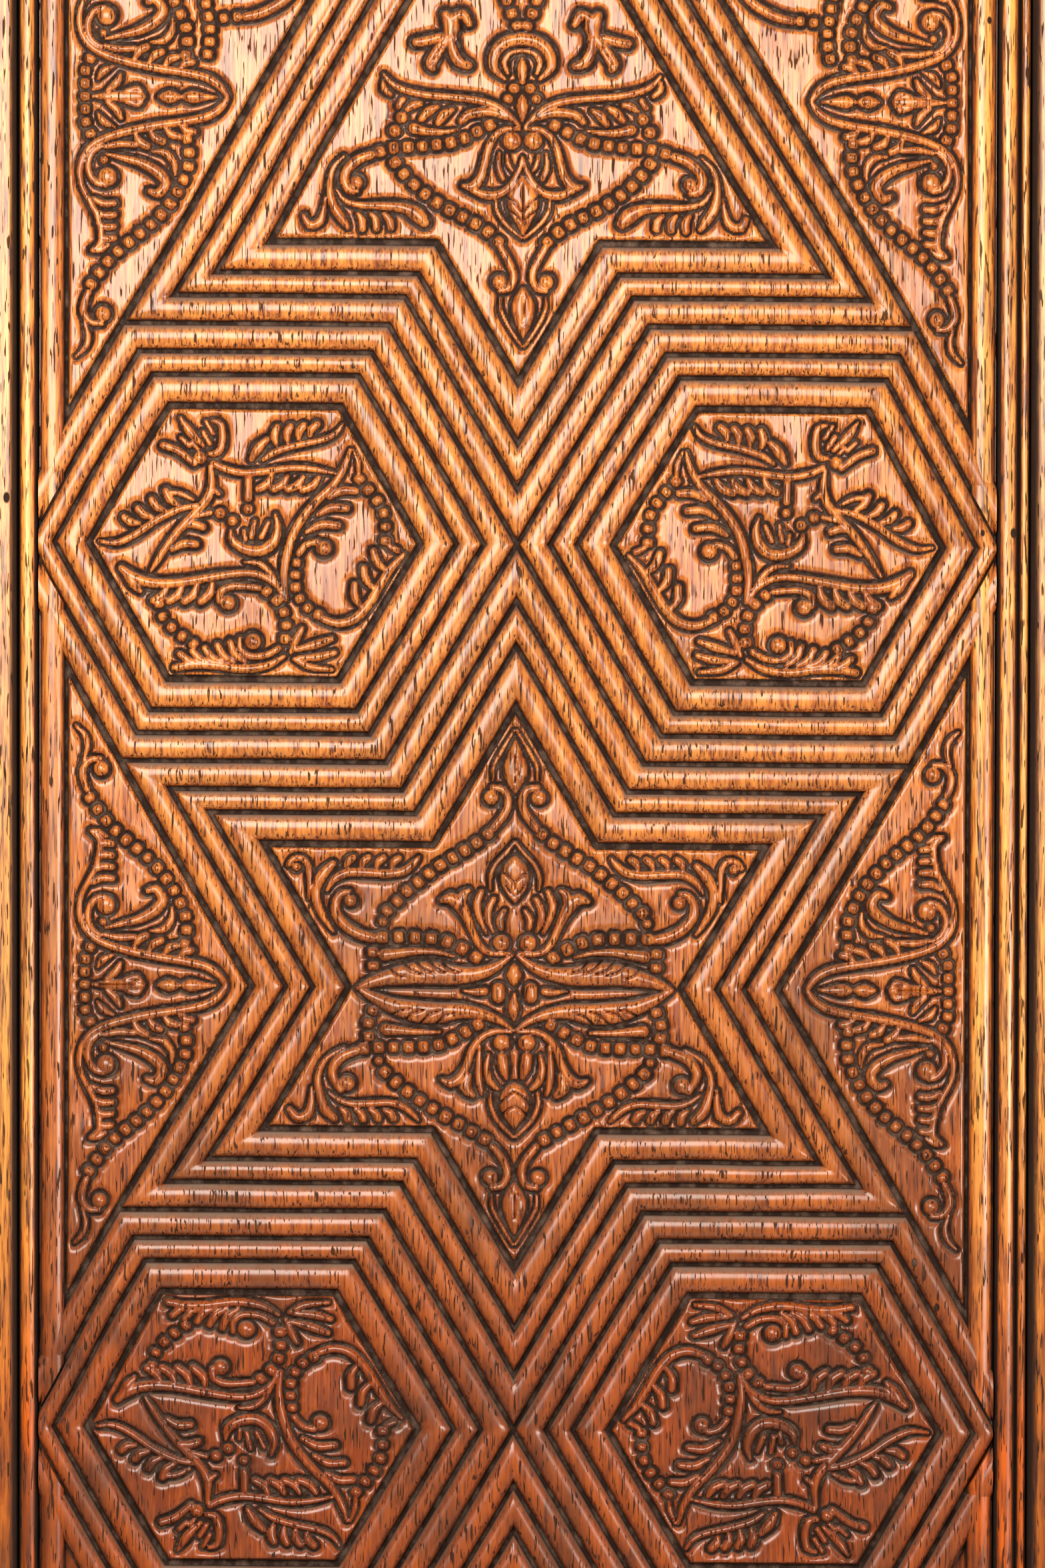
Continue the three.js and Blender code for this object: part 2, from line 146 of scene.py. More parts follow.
# The hand-set lay-out falls to the right and spreads, as shares of the place across
LINE_DROOP = -0.006
LINE_SPREAD = 0.013
# Where it strays from true: place across and up, reach, and shift to the right
STRAYS = (
    (115, 165, 60, 2.5),
    (-110, 190, 45, 2.2),
    (0, 170, 110, 0.8),
    (90, -235, 60, -1.5),
    (-125, -205, 55, -3.0),
)
# How steeply the straying dies out at the board's long edges
EDGE_FADE = 6
# Rounds of stepping back from a carved place to its true one
TRUE_ROUNDS = 3
# Parts that an edge is divided into, so that it can bend
EDGE_PARTS = 6


def stray(points):
    """How far to the right of true each point of the lay-out lies, as the carver set it out by hand."""
    shift = LINE_SPREAD * points[:, 0]
    for x, z, reach, right in STRAYS:
        away = np.linalg.norm(points - [x, z], axis=1)
        shift = shift + right * np.exp(-(away / reach) ** 2)
    edge = np.abs(points[:, 0]) * MM / PANEL_HIGH[0]
    return shift * np.clip(1 - edge ** EDGE_FADE, 0, 1)


def laid_out(points):
    """The lay-out as carved: it strays sideways and falls a little to the right."""
    points = np.array(points, dtype=float)
    return points + np.column_stack((stray(points), LINE_DROOP * points[:, 0]))


def true_places(points):
    """The true places of points of the carved lay-out."""
    true = points
    for _ in range(TRUE_ROUNDS):
        true = points - np.column_stack((stray(true), LINE_DROOP * true[:, 0]))
    return true


def hexagon_outline(size):
    """A hexagon whose side points meet the next hexagon's."""
    half_height = size.row_pitch - size.star_arm
    half_edge = size.star_notch * (1 - half_height / size.row_pitch)
    right = [(size.star_notch, 0), (half_edge, half_height)]
    left = [(-half_edge, half_height), (-size.star_notch, 0), (-half_edge, -half_height)]
    return np.array(right + left + [(half_edge, -half_height)])


def star_outline(size):
    """A six-pointed star."""
    tip = size.star_notch * (1 + size.star_arm / size.row_pitch)
    inner = size.star_notch * (1 - size.star_arm / size.row_pitch)
    left = [(-inner, size.star_arm), (-tip, size.star_arm), (-size.star_notch, 0)]
    left += [(-tip, -size.star_arm), (-inner, -size.star_arm)]
    right = [(-x, z) for x, z in reversed(left)]
    return np.array([(0, size.row_pitch)] + left + [(0, -size.row_pitch)] + right)


def head_outline(size):
    """The figure at the head of the panel: a star without side notches."""
    star = star_outline(size)
    return star[[0, 4, 5, 6, 7, 8]]


def offset_outline(outline, inset):
    """The outline moved inwards by inset, with mitred corners. It runs counter-clockwise."""
    along = np.roll(outline, -1, axis=0) - outline
    along /= np.linalg.norm(along, axis=1)[:, None]
    normal = np.column_stack((-along[:, 1], along[:, 0]))
    reach = np.sum(normal * outline, axis=1) + inset
    before, before_reach = np.roll(normal, 1, axis=0), np.roll(reach, 1)
    determinant = before[:, 0] * normal[:, 1] - before[:, 1] * normal[:, 0]
    x = (before_reach * normal[:, 1] - reach * before[:, 1]) / determinant
    z = (before[:, 0] * reach - normal[:, 0] * before_reach) / determinant
    return np.column_stack((x, z))


def fine_outline(outline):
    """The outline with its edges divided, so that they can bend."""
    ends = np.roll(outline, -1, axis=0)
    shares = np.linspace(0, 1, EDGE_PARTS + 1)[:-1, None]
    return np.vstack([a + (b - a) * shares for a, b in zip(outline, ends)])


def distance_inside(points, outline):
    """How far each point lies inside a closed outline, negative outside."""
    closest = np.full(len(points), np.inf)
    inside = np.zeros(len(points), dtype=bool)
    for a, b in zip(outline, np.roll(outline, -1, axis=0)):
        ab = b - a
        share = np.clip(((points - a) @ ab) / (ab @ ab), 0, 1)
        closest = np.minimum(closest, np.linalg.norm(points - a - share[:, None] * ab, axis=1))
        if a[1] != b[1]:
            crosses = (a[1] > points[:, 1]) != (b[1] > points[:, 1])
            cross_x = a[0] + (points[:, 1] - a[1]) / ab[1] * ab[0]
            inside ^= crosses & (points[:, 0] < cross_x)
    return np.where(inside, closest, -closest)


RIPPLE_WAVES = 7
RIPPLE_STRETCH = (0.6, 1.6)


def ripple(points, wavelength, seed):
    """A smooth uneven surface between about -1 and 1, from a few crossing waves."""
    random = np.random.default_rng(seed)
    total = np.zeros(len(points))
    for _ in range(RIPPLE_WAVES):
        angle, phase = random.uniform(0, 2 * math.pi, 2)
        stretch = random.uniform(*RIPPLE_STRETCH)
        direction = np.array([math.cos(angle), math.sin(angle)])
        total += np.sin(points @ direction * (2 * math.pi / (wavelength * stretch)) + phase)
    return total / math.sqrt(2 * RIPPLE_WAVES)


def unevenness(points, waves, seeds):
    """Ripples added up, each given by its height and wavelength in millimetres and by its seed."""
    return sum(height * ripple(points, length, seed) for (height, length), seed in zip(waves, seeds))


# Strokes of the carving: swept ridges with a width at each point, and cuts. Each is a list, so that
# designs join them with *.

PATH_STEP = 1.6


def curve_through(points):
    """A smooth curve through control points, each with a position and a width."""
    points = np.array(points, dtype=float)
    if len(points) < 3:
        return points
    padded = np.vstack((2 * points[0] - points[1], points, 2 * points[-1] - points[-2]))
    parts = []
    for p0, p1, p2, p3 in zip(padded, padded[1:], padded[2:], padded[3:]):
        count = max(2, round(np.linalg.norm(p2[:2] - p1[:2]) / PATH_STEP))
        t = (np.arange(count) / count)[:, None]
        bend = 2 * p0 - 5 * p1 + 4 * p2 - p3
        twist = 3 * p1 - p0 - 3 * p2 + p3
        parts.append(0.5 * (2 * p1 + (p2 - p0) * t + bend * t ** 2 + twist * t ** 3))
    return np.vstack(parts + [points[-1:]])


# Spacing, length and breadth of the beads as shares of their width
BEAD_PITCH = 1.1
BEAD_LENGTH = 0.95
BEAD_BREADTH = 1.03
# Radius of their corners in millimetres
BEAD_CORNER = 1.7
# Hand-cut beads differ: by how much, and how fast length and breadth change from bead to bead
BEAD_SPREAD = 0.05
LENGTH_BEAT = 2.3
BREADTH_BEAT = 1.7
# How far a leaf's finger bends, as a share of its length, and its width at the base, middle and tip
FINGER_BEND = 0.14
FINGER_WIDTHS = (0.55, 0.9, 0.8)
# Width of a chisel cut at its ends
CUT_END = 0.5


def stem(*points):
    """A ridge along a curve, through points of position and width."""
    return [("ridge", curve_through(points))]


def ball(radius, u, v):
    """A round boss."""
    return [("ridge", np.array([(u, v, 2 * radius)]))]


def beads(width, *points):
    """A row of barrel-shaped beads spaced evenly along a curve, each given by its two ends."""
    path = curve_through([(u, v, width) for u, v in points])
    steps = np.linalg.norm(np.diff(path[:, :2], axis=0), axis=1)
    run = np.concatenate(([0], np.cumsum(steps)))
    count = max(1, round(run[-1] / (width * BEAD_PITCH)))
    row = []
    for number in range(count + 1):
        at = run[-1] * number / count
        length = width * (BEAD_LENGTH + BEAD_SPREAD * math.sin(LENGTH_BEAT * number + points[0][0]))
        behind, place, ahead = (
            np.array([np.interp(at + step, run, path[:, axis]) for axis in (0, 1)]) for step in (-1, 0, 1)
        )
        along = (ahead - behind) / np.linalg.norm(ahead - behind) * length / 2
        breadth = width * (BEAD_BREADTH + BEAD_SPREAD * math.sin(BREADTH_BEAT * number + points[0][1]))
        row.append(("bead", np.array([(*(place - along), breadth), (*(place + along), breadth)])))
    return row


def lobes(count, width, first_base, last_base, first_tip, last_tip):
    """The fingers along one side of a leaf, from the first to the last."""
    strokes = []
    for i in range(count):
        share = i / max(1, count - 1)
        base = np.array(first_base) + share * np.subtract(last_base, first_base)
        tip = np.array(first_tip) + share * np.subtract(last_tip, first_tip)
        run = tip - base
        middle = 0.5 * (base + tip) + FINGER_BEND * np.array([-run[1], run[0]])
        places = zip((base, middle, tip), FINGER_WIDTHS)
        strokes += stem(*[(*place, share * width) for place, share in places])
    return strokes


def cut(width, *points):
    """A chisel cut along a curve, narrow at its ends."""
    widths = [CUT_END * width] + [width] * (len(points) - 2) + [CUT_END * width]
    return [("cut", curve_through([(u, v, w) for (u, v), w in zip(points, widths)]))]


def placed(design, mirror_u=1, mirror_v=1, shift=(0, 0)):
    """A design mirrored and then shifted as given."""
    return [(kind, path * [mirror_u, mirror_v, 1] + [*shift, 0]) for kind, path in design]


def both_sides(strokes):
    """The strokes and their mirror image across the axis."""
    return strokes + placed(strokes, -1)


# The designs, in millimetres from the centre of each field

HEXAGON_DESIGN = [
    *stem((-49, -10, 3.5), (-45, -13, 5), (-38, -15.3, 5), (-28, -15.3, 4.5), (-15, -13, 4),
          (-5, -11.5, 3.5), (2, -12, 3.2), (8, -15.5, 2.8), (11, -20, 2)),
    *lobes(4, 4.8, (-32, -17), (-15, -15.5), (-37, -22), (-19.5, -22.3)),
    *stem((-47, -12, 4), (-44.5, -15.5, 5), (-42, -18.5, 2.5)),
    *stem((-12.5, -22, 3), (-12, -18.5, 3.5), (-8, -16.5, 3.5), (-3, -16.5, 3.2), (2, -17, 3)),
    *ball(3.4, -9.3, -22.7),
    *beads(4.6, (5, -18.3), (9.5, -22.5), (12.2, -29), (12, -36)),
    *ball(3.6, 0, -37),
    *stem((-4.7, -36, 2.5), (-4.5, -40, 3), (-1, -42.5, 3.2), (5, -42, 3.2), (9.5, -39.5, 3)),
    *stem((11.5, -42.5, 2), (5, -46, 3.5), (-4, -47.2, 4), (-14, -46, 4), (-22, -45.8, 4),
          (-28.8, -47, 3.5)),
    *lobes(5, 4.2, (-3, -44.5), (-19, -45), (-8.5, -37.5), (-27, -42)),
    *beads(4.4, (-35, -23), (-33, -29), (-28, -34), (-22, -38.2)),
    *stem((12, -21, 2.5), (11.3, -12, 3.5), (12.5, -4, 4), (15, 4, 4), (19, 10.5, 4), (24, 16.5, 3.8),
          (29.5, 22, 3.5), (33.5, 29, 3), (35.3, 35, 1.5)),
    *lobes(3, 4.4, (28, 17), (19.5, 4), (37.5, 19.5), (31, 6.5)),
    *stem((36.5, 35, 1.2), (38.3, 30, 2.4), (38.5, 26.5, 1.8)),
    *beads(4.4, (38.8, 24), (43, 19), (47.3, 13), (48.7, 6), (48.7, 1)),
    *stem((50, -1, 2.5), (53, -2.5, 3)),
    *ball(3.4, 26, -2),
    *stem((23.5, 0.5, 3), (19.5, -0.7, 3.2), (16.7, -4, 3.2)),
    *beads(4.4, (16, -7.5), (15.5, -13), (16.2, -19), (20, -24.3), (24, -26.8)),
    *stem((26, -28.5, 3.5), (31, -30, 4), (37, -28.5, 4.2), (42, -23.5, 4.2), (46.5, -16, 4),
          (50.5, -9.5, 3.5), (55.5, -4, 2)),
    *lobes(3, 4.2, (40, -24), (49, -10), (37.3, -15.5), (44.3, -3)),
    *stem((14, -41, 2), (16, -36, 3.5), (18, -32, 2.6)),
    *stem((16, -40, 2.5), (23, -38, 4.2), (29, -35.8, 2.8)),
    *stem((17, -43, 2.5), (24, -42.6, 4), (30, -41, 2.8)),
    *stem((15.5, -43.5, 2.5), (21, -46.3, 3.2), (29, -47.3, 2)),
    *stem((-8.5, 4.5, 1.5), (-7.5, 0.5, 3.8), (-3, -2.5, 4.8), (3, -3, 5), (7.5, 0.5, 4.8), (9, 6, 3.4),
          (8, 10.5, 1.5)),
    *stem((-3, 1, 2.4), (-3.5, 4.3, 2)),
    *stem((-0.7, 2, 2.6), (0.4, 8, 2)),
    *stem((3, 2, 2.8), (5.5, 7.5, 2.2)),
    *stem((-3, -7.3, 1.5), (2, -7.8, 2.8), (6, -11, 2.8), (9.3, -16, 1.8)),
    *ball(2.4, -12.3, 10.8),
    *ball(2.3, -7.7, 8),
    *stem((-22, 9.3, 2.2), (-16, 11, 2.8)),
    *stem((-2, 23.5, 3.4), (-2, 16.5, 3.4)),
    *ball(2.1, -2, 12.5),
    *stem((-15, 29.5, 3), (-11, 27.5, 3.5), (-4, 26, 3.5), (4, 26.6, 3.5), (14, 28, 3.2), (22, 27.5, 3),
          (30, 26, 1.5)),
    *lobes(4, 4.4, (6.5, 24.8), (24, 24.5), (1.8, 20), (18, 19.8)),
    *stem((-1, 31, 2.5), (1.3, 35, 4.5), (4.5, 38.5, 3)),
    *stem((3.5, 31, 2.2), (8, 34, 3.2), (16, 36.5, 3.2), (25, 38.5, 3), (30, 41, 2.5), (32.5, 44.5, 1.5)),
    *lobes(4, 4.4, (8, 37), (20.5, 40), (8.3, 43), (23, 44.3)),
    *ball(2.8, -20, 31.5),
    *stem((-33.5, 36, 3.5), (-28, 34, 3.5), (-22, 29.3, 3)),
    *stem((-27.5, 46.5, 1.5), (-24, 41.3, 4), (-18.7, 36, 2)),
    *stem((-15.5, 45.3, 2.2), (-12.5, 44, 3), (-11.8, 38, 3.4), (-13.3, 33.6, 3.4), (-16.3, 33, 2.5)),
    *stem((-27, 38.8, 2.2), (-24, 36, 2.4)),
    *stem((-23, 37, 2.2), (-20.8, 34.8, 2)),
    *stem((-19, 41, 2.6), (-16.5, 36.8, 2.4)),
    *stem((-18, 45, 2), (-15.3, 40.5, 2.2)),
    *stem((-16, 28.5, 2), (-15.5, 22, 3.5), (-17, 16.5, 4), (-21, 11.5, 4), (-27, 5, 4), (-32, -1.5, 3.5),
          (-35.5, -7, 3), (-38, -11, 1.5)),
    *stem((-15.5, 20.5, 2.6), (-12.8, 18, 2.2)),
    *lobes(2, 4.6, (-25.5, 6), (-30, -3), (-18.8, 5.6), (-21.3, -0.8)),
    *stem((-57.5, 0, 1.5), (-51, -0.5, 3), (-44, 2.5, 3.5), (-36, 8, 3.5), (-28, 12, 3.5),
          (-21, 13.7, 2.5)),
    *lobes(4, 4.4, (-42.5, 7), (-28, 14), (-48, 9), (-32.5, 19)),
    *stem((-32, 18.6, 2.2), (-27, 18, 2.8), (-22.3, 15.8, 1.8)),
]

# The left side of the star's upper half; the right side mirrors it
STAR_UPPER = [
    *stem((-58, -0.5, 2.4), (-54, 1.3, 4.6), (-47, 3.4, 7), (-38, 5, 9.4), (-30, 5.2, 10), (-22, 4.5, 8.4),
          (-14, 5.2, 6.4), (-7, 7.8, 4.4), (-1, 12.2, 1.6)),
    *cut(1.5, (-41.5, 9), (-38, 6.3), (-33.5, 4.8)),
    *cut(1.7, (-37, 10), (-33.5, 6.6), (-29.5, 5.4)),
    *cut(1.7, (-32, 10.3), (-29, 7), (-25.5, 5.6)),
    *cut(1.7, (-27, 9.7), (-24.5, 7), (-20.5, 5.8)),
    *cut(1.3, (-46, 6.8), (-43.5, 4.6), (-40, 3.6)),
    *stem((-48, 12, 5.4), (-44, 12.5, 4.8), (-37, 13.4, 3.6), (-29, 13.2, 2.6), (-22.5, 11.6, 1.5)),
    *beads(4.7, (-52.3, 7.8), (-52.5, 13)),
    *beads(5.1, (-49, 18.6), (-38, 18.7), (-28, 18), (-23, 16.3), (-18.5, 14), (-14.3, 11.3)),
    *stem((-52.5, 18.4, 4.6), (-57, 19.5, 5), (-62, 22.3, 5), (-65.8, 27, 4.6), (-66.2, 31.5, 4),
          (-64, 35, 3.4), (-61.3, 35.6, 2.6)),
    *ball(2.7, -60.8, 32.2),
    *stem((-67, 20.5, 1.5), (-70, 24.7, 2.8), (-73, 31, 3.8), (-73.4, 37, 4.4), (-71, 42, 5),
          (-67.3, 46, 3.4)),
    *stem((-69.5, 36, 1.8), (-67, 40, 3.4), (-62, 42.7, 4), (-55, 42.8, 4.2), (-47, 42.4, 4.2),
          (-41, 43.5, 4), (-37.3, 46.5, 3.2), (-35.6, 48.7, 1.8)),
    *lobes(4, 4, (-62.3, 45), (-45.5, 45), (-59.8, 48.4), (-43, 48.2)),
    *stem((-76, 33, 1.4), (-76, 40, 2.5), (-76.4, 45, 3), (-78.7, 48, 3), (-82, 47.7, 2.8),
          (-83.7, 45.5, 2.4)),
    *ball(2, -80.8, 44.8),
    *beads(4.9, (-47.2, 28.3), (-43.3, 32.2), (-39.5, 36.3), (-35, 40), (-31, 43.2), (-27, 46.2),
           (-21, 49.8), (-14.5, 54), (-10, 57.5)),
    *ball(2.1, -48.8, 24.3),
    *stem((-8, 59.7, 3.6), (-4, 65, 4), (-2.6, 70, 3.8), (-4.5, 74.3, 3.6), (-8.3, 75, 3)),
    *ball(3.3, -8.8, 71.3),
    *ball(3.6, -5, 16.8),
    *stem((-1.6, 13, 1.6), (-6, 12.6, 2.6), (-10.5, 13.5, 3), (-13.7, 17, 3.3), (-15.7, 21.5, 3.6),
          (-17.8, 26.5, 4.4), (-20.3, 30.8, 6), (-23.5, 33.4, 5.6), (-27, 32.5, 2.6)),
    *stem((-20, 32, 5), (-19, 35, 4), (-17, 36.4, 2.4)),
    *stem((-12.3, 36, 2.6), (-14, 31.5, 3.6), (-13, 26, 3), (-10.5, 20.5, 1.6)),
    *stem((-7.8, 33.3, 2.6), (-9.8, 29, 3.4), (-9.6, 24.5, 2.8), (-8, 21, 1.4)),
    *stem((-3.8, 29, 2), (-5.6, 25.5, 3.4), (-5.1, 22.3, 2.6)),
    *stem((-9, 37, 1.4), (-9, 42, 2), (-7, 46.5, 2), (-3.3, 50.5, 2), (-0.3, 54.5, 1.6)),
    *stem((-8.3, 78, 1.2), (-8, 83, 1.8), (-4.3, 90, 1.8), (-0.5, 96.5, 1.4)),
    *cut(1.4, (-4.6, 43.3), (-2.4, 42), (0, 39.5)),
    *cut(1.2, (-3.6, 38.8), (-2, 36.3), (0, 34)),
]

STAR_UPPER_AXIS = [
    *stem((0, 32.5, 2), (0, 37, 8), (0, 41.5, 12), (0, 45.5, 8), (0, 48.7, 2.6)),
    *cut(1.2, (0, 40), (0, 36.5)),
    *stem((0, 74, 3), (0, 80.5, 10), (0, 86, 7.5), (0, 92.5, 1.5)),
    *cut(1.2, (0, 77), (0.4, 82), (0, 87)),
]

# The left side of the star's lower half; the right side mirrors it
STAR_LOWER = [
    *stem((-57.5, -1, 2.4), (-52, -4, 5), (-45, -7, 7), (-37, -9, 9.2), (-28, -9.6, 9), (-20, -8.8, 7),
          (-12, -9.9, 5), (-5, -12.7, 3.2), (-0.5, -16, 1.5)),
    *cut(1.5, (-45.3, -10.3), (-42, -8.6), (-38.5, -8)),
    *cut(1.7, (-40.5, -12.2), (-37.3, -9.4), (-33.5, -8.4)),
    *cut(1.7, (-35, -13.6), (-31.5, -10), (-27.5, -8.5)),
    *cut(1.7, (-29, -13.6), (-26, -10.6), (-22, -9.4)),
    *stem((-47.5, -16, 5.2), (-43, -16.3, 4.2), (-36, -16.8, 3), (-28, -16.8, 1.8)),
    *beads(4.8, (-52.5, -9), (-54.3, -14.3), (-54, -18.6)),
    *beads(4.9, (-55.8, -23.2), (-50, -22.7), (-40, -22.6), (-30, -22), (-25.5, -20.6), (-20, -17.7),
           (-13.5, -13.8)),
    *stem((-58.5, -24, 4.2), (-64, -26.5, 4.8), (-67.3, -31, 4.4), (-66.5, -35.5, 3.6), (-64.3, -38.8, 3)),
    *ball(3.5, -62, -36.3),
    *stem((-63, -22.9, 1.6), (-69.7, -27.3, 2.6), (-72.7, -34, 3), (-72, -40, 3.6), (-70, -46, 4.5),
          (-66.5, -49.5, 3.2)),
    *stem((-68.5, -40, 1.6), (-65, -42.5, 2.5), (-60, -44, 3.2), (-53, -43.8, 3.4), (-46, -43.5, 3.2),
          (-41, -45, 3.2), (-37, -48.3, 2.4), (-35.5, -50, 1.4)),
    *lobes(4, 4.2, (-64, -45.8), (-48, -46.3), (-61.5, -50), (-44.8, -49.3)),
    *stem((-75, -38, 1.6), (-75, -43, 3.2), (-76.3, -48, 4.2), (-80, -49.3, 4), (-83, -46.3, 3)),
    *beads(4.9, (-48, -32), (-44, -35.7), (-40, -39), (-36, -42), (-32, -44.6), (-27.5, -47.5), (-23, -50),
           (-18.5, -52.5), (-11, -57)),
    *ball(1.9, -50.2, -27.8),
    *stem((-8, -59.7, 3.4), (-4, -65, 3.8), (-2.6, -70, 3.6), (-4.5, -74.3, 3.5), (-8.3, -75, 3)),
    *ball(3.3, -8.8, -71.3),
    *ball(3.7, -4.6, -20.6),
    *stem((-1.2, -16.6, 1.6), (-7, -16.3, 3), (-12, -18.6, 3.2), (-15.5, -23, 3.4), (-17.5, -29, 3.8),
          (-20, -33.8, 4.6), (-23.5, -36, 4.4), (-26.6, -34.8, 2.2)),
    *stem((-17, -33, 3), (-18.2, -37.5, 5.6), (-15.6, -40.4, 3.4)),
    *stem((-12.8, -22, 1.8), (-13.4, -30, 3), (-13, -36, 3), (-12, -40, 2)),
    *stem((-9.6, -25.3, 1.8), (-10.3, -30, 3), (-9, -35.3, 3.4), (-6.2, -38, 2.2)),
    *stem((-4.6, -26, 4.6), (-4.1, -30, 4.6), (-3.1, -33.8, 2.2)),
    *stem((-8.6, -39.5, 1.6), (-8.8, -44, 2.2), (-6.2, -50, 2.2), (-0.5, -56, 1.8)),
    *stem((-8.3, -78, 1.2), (-8, -83, 1.8), (-4.3, -90, 1.8), (-0.5, -96.5, 1.4)),
    *cut(1.5, (-6, -44.2), (-3.3, -41), (0, -38.8)),
    *cut(1.5, (-5.2, -48.6), (-2.6, -45.6), (0, -44.2)),
]

STAR_LOWER_AXIS = [
    *stem((0, -36.6, 3), (0, -42, 12), (0, -47, 9), (0, -52.5, 1.8)),
    *stem((0, -74, 3), (0, -80.5, 10), (0, -86, 7.5), (0, -92.5, 1.5)),
    *cut(1.2, (0, -77), (0.4, -82), (0, -87)),
]

STAR_HEART = [
    *stem((-0.2, 8.6, 2), (-0.2, 4.8, 6.4), (-0.2, 1.2, 2)),
    *stem((0, -2.3, 1.8), (-0.3, -5.5, 3.8), (-0.4, -8.3, 5.2), (-0.2, -12, 1.5)),
    *both_sides(stem((-6, -0.3, 5.4), (-6, -3.3, 5.6))),
    *both_sides(stem((-19, -1.2, 1.2), (-14, -1.7, 3.4), (-11.2, -1.4, 3.8))),
]

# The left side of the figure at the head, from its axis; the right side mirrors it
HEAD_AXIS_PLACE = 1.8

HEAD_HALF = [
    *stem((-51, 9, 1.5), (-48, 5.6, 2.6), (-43, 3.1, 3.2), (-35, 1.4, 3.4), (-26, 0.7, 3.4),
          (-16, -0.5, 3.6), (-9, -3, 3.8), (-4, -7, 3), (-1, -10, 1.5)),
    *stem((-51.2, 6.5, 1.8), (-50.8, 3.6, 3.2), (-48.5, 1.6, 2.4)),
    *stem((-44, -0.3, 3), (-45.6, -2.8, 2.8)),
    *stem((-37.5, -1.8, 2.8), (-40, -2.3, 3.8), (-42.4, -4, 2.6)),
    *stem((-31.5, -3, 2.6), (-34.5, -4.6, 4.2), (-37.2, -7.6, 3)),
    *stem((-26, -4, 2.6), (-29, -6, 4.4), (-31, -9, 3)),
    *stem((-22.5, -8.3, 3), (-19.5, -5.6, 4.2), (-12, -4.7, 4.4), (-6, -6.6, 3)),
    *ball(2.6, -44.4, -7),
    *ball(2.6, -47, -12),
    *stem((-40, -11, 4.8), (-36, -12, 3.8), (-30, -12.3, 2.8), (-24, -11.5, 1.5)),
    *beads(4.9, (-12, -9.5), (-16.5, -12), (-22, -14.8), (-28, -16.6), (-33.5, -17.2), (-39, -17.9),
           (-47.5, -18.3), (-52.6, -19.8)),
    *stem((-56, -21, 4.2), (-60.5, -22.7, 4.6), (-64.3, -26, 4.6), (-66, -30, 4.4), (-64.3, -34, 4.2),
          (-61.6, -34.6, 3)),
    *ball(3, -61.4, -31.2),
    *stem((-66, -21.6, 1.5), (-70, -26, 2.4), (-71.5, -33, 3.2), (-70.2, -40, 4.4), (-67, -45, 4.2),
          (-65, -48, 2.4)),
    *stem((-69, -34, 1.5), (-66, -38, 2.5), (-60, -39.8, 3.2), (-52, -40, 4), (-44, -40.7, 5),
          (-39, -43.2, 7), (-36.5, -46, 5)),
    *lobes(3, 4, (-61, -43), (-51.3, -43), (-59.6, -48.6), (-48.8, -48)),
    *stem((-73.3, -37, 1.4), (-74, -42, 2.8), (-75.7, -46.3, 3.8), (-79.5, -47.3, 3.8), (-81.5, -44, 2.6)),
    *beads(4.9, (-47, -23.7), (-43, -29), (-38.5, -33.4), (-34, -37), (-29.5, -40), (-24.5, -42.7),
           (-19.5, -45.3), (-14, -48.5), (-9, -53)),
    *stem((-8.3, -55, 3.2), (-5, -61, 3.6), (-3.4, -66, 3.5), (-5, -70.3, 3.3), (-8.3, -71.3, 2.6)),
    *ball(3.3, -8.6, -68),
    *ball(3.9, -3.9, -15.3),
    *stem((-1.2, -11, 1.8), (-6, -11, 2.8), (-10, -13.5, 3), (-12.5, -18, 3.4), (-14, -24, 3.6),
          (-15.5, -29, 4), (-18.5, -32.7, 4.6), (-21.8, -32.3, 2.4)),
    *stem((-18.5, -34, 3), (-13, -35.8, 4.2), (-8, -35, 3.6), (-4.3, -31.7, 3), (-1.4, -26.5, 2.5),
          (0, -21.5, 1.5)),
    *stem((-8.6, -20, 1.5), (-9, -25, 2.6), (-7.3, -29.5, 2.4)),
    *stem((-5.8, -20.6, 1.5), (-5.3, -24, 2.2), (-3.8, -26.5, 1.6)),
    *stem((-10, -37.6, 1.4), (-9.3, -42, 2), (-5.8, -47, 2), (-0.6, -51.5, 1.6)),
    *cut(1.2, (-5.6, -36.5), (-3, -38.5), (0, -42.5)),
    *cut(1.1, (-5.4, -41), (-2.6, -43), (0, -46)),
    *stem((-8.3, -74, 1.2), (-8, -79, 1.8), (-4.5, -86, 1.8), (-0.5, -92, 1.4)),
    *stem((-6.5, 7.6, 1.8), (-10.6, 12, 4.2), (-9.8, 17.6, 5.4), (-5.6, 21.4, 6), (0, 22.6, 6.2)),
    *stem((-5.4, 9.8, 1.8), (-6.6, 14, 3), (-4.2, 17.3, 2.6), (0, 18.3, 2.2)),
    *ball(2.3, -3, 4.2),
    *ball(2.2, -5.3, 0.2),
    *stem((-28, 31.3, 4.4), (-26, 28, 7.6), (-26.5, 24, 5.6)),
    *stem((-39, 21, 4.2), (-35, 21.6, 4.8), (-30, 23, 4.4)),
    *stem((-26.5, 24, 4), (-30.5, 18.5, 5.2), (-33.6, 13.4, 5), (-33, 11.4, 3.4)),
    *stem((-25.6, 24, 4), (-25.5, 18.8, 5), (-23, 14, 5.6), (-19.7, 12.5, 4)),
    *stem((-25, 30, 5), (-21.8, 31.6, 4.6), (-19.5, 28, 3.4)),
    *cut(1.4, (-29.5, 20), (-31.6, 16.4), (-34, 12.4)),
    *cut(1.3, (-25, 22.5), (-22.8, 17.4), (-20.5, 13.8)),
    *cut(1.2, (-23, 30.5), (-22.6, 27.5), (-21, 25)),
    *beads(4.6, (-5.6, 36.8), (-3.7, 31.7), (-1.8, 27.4)),
]

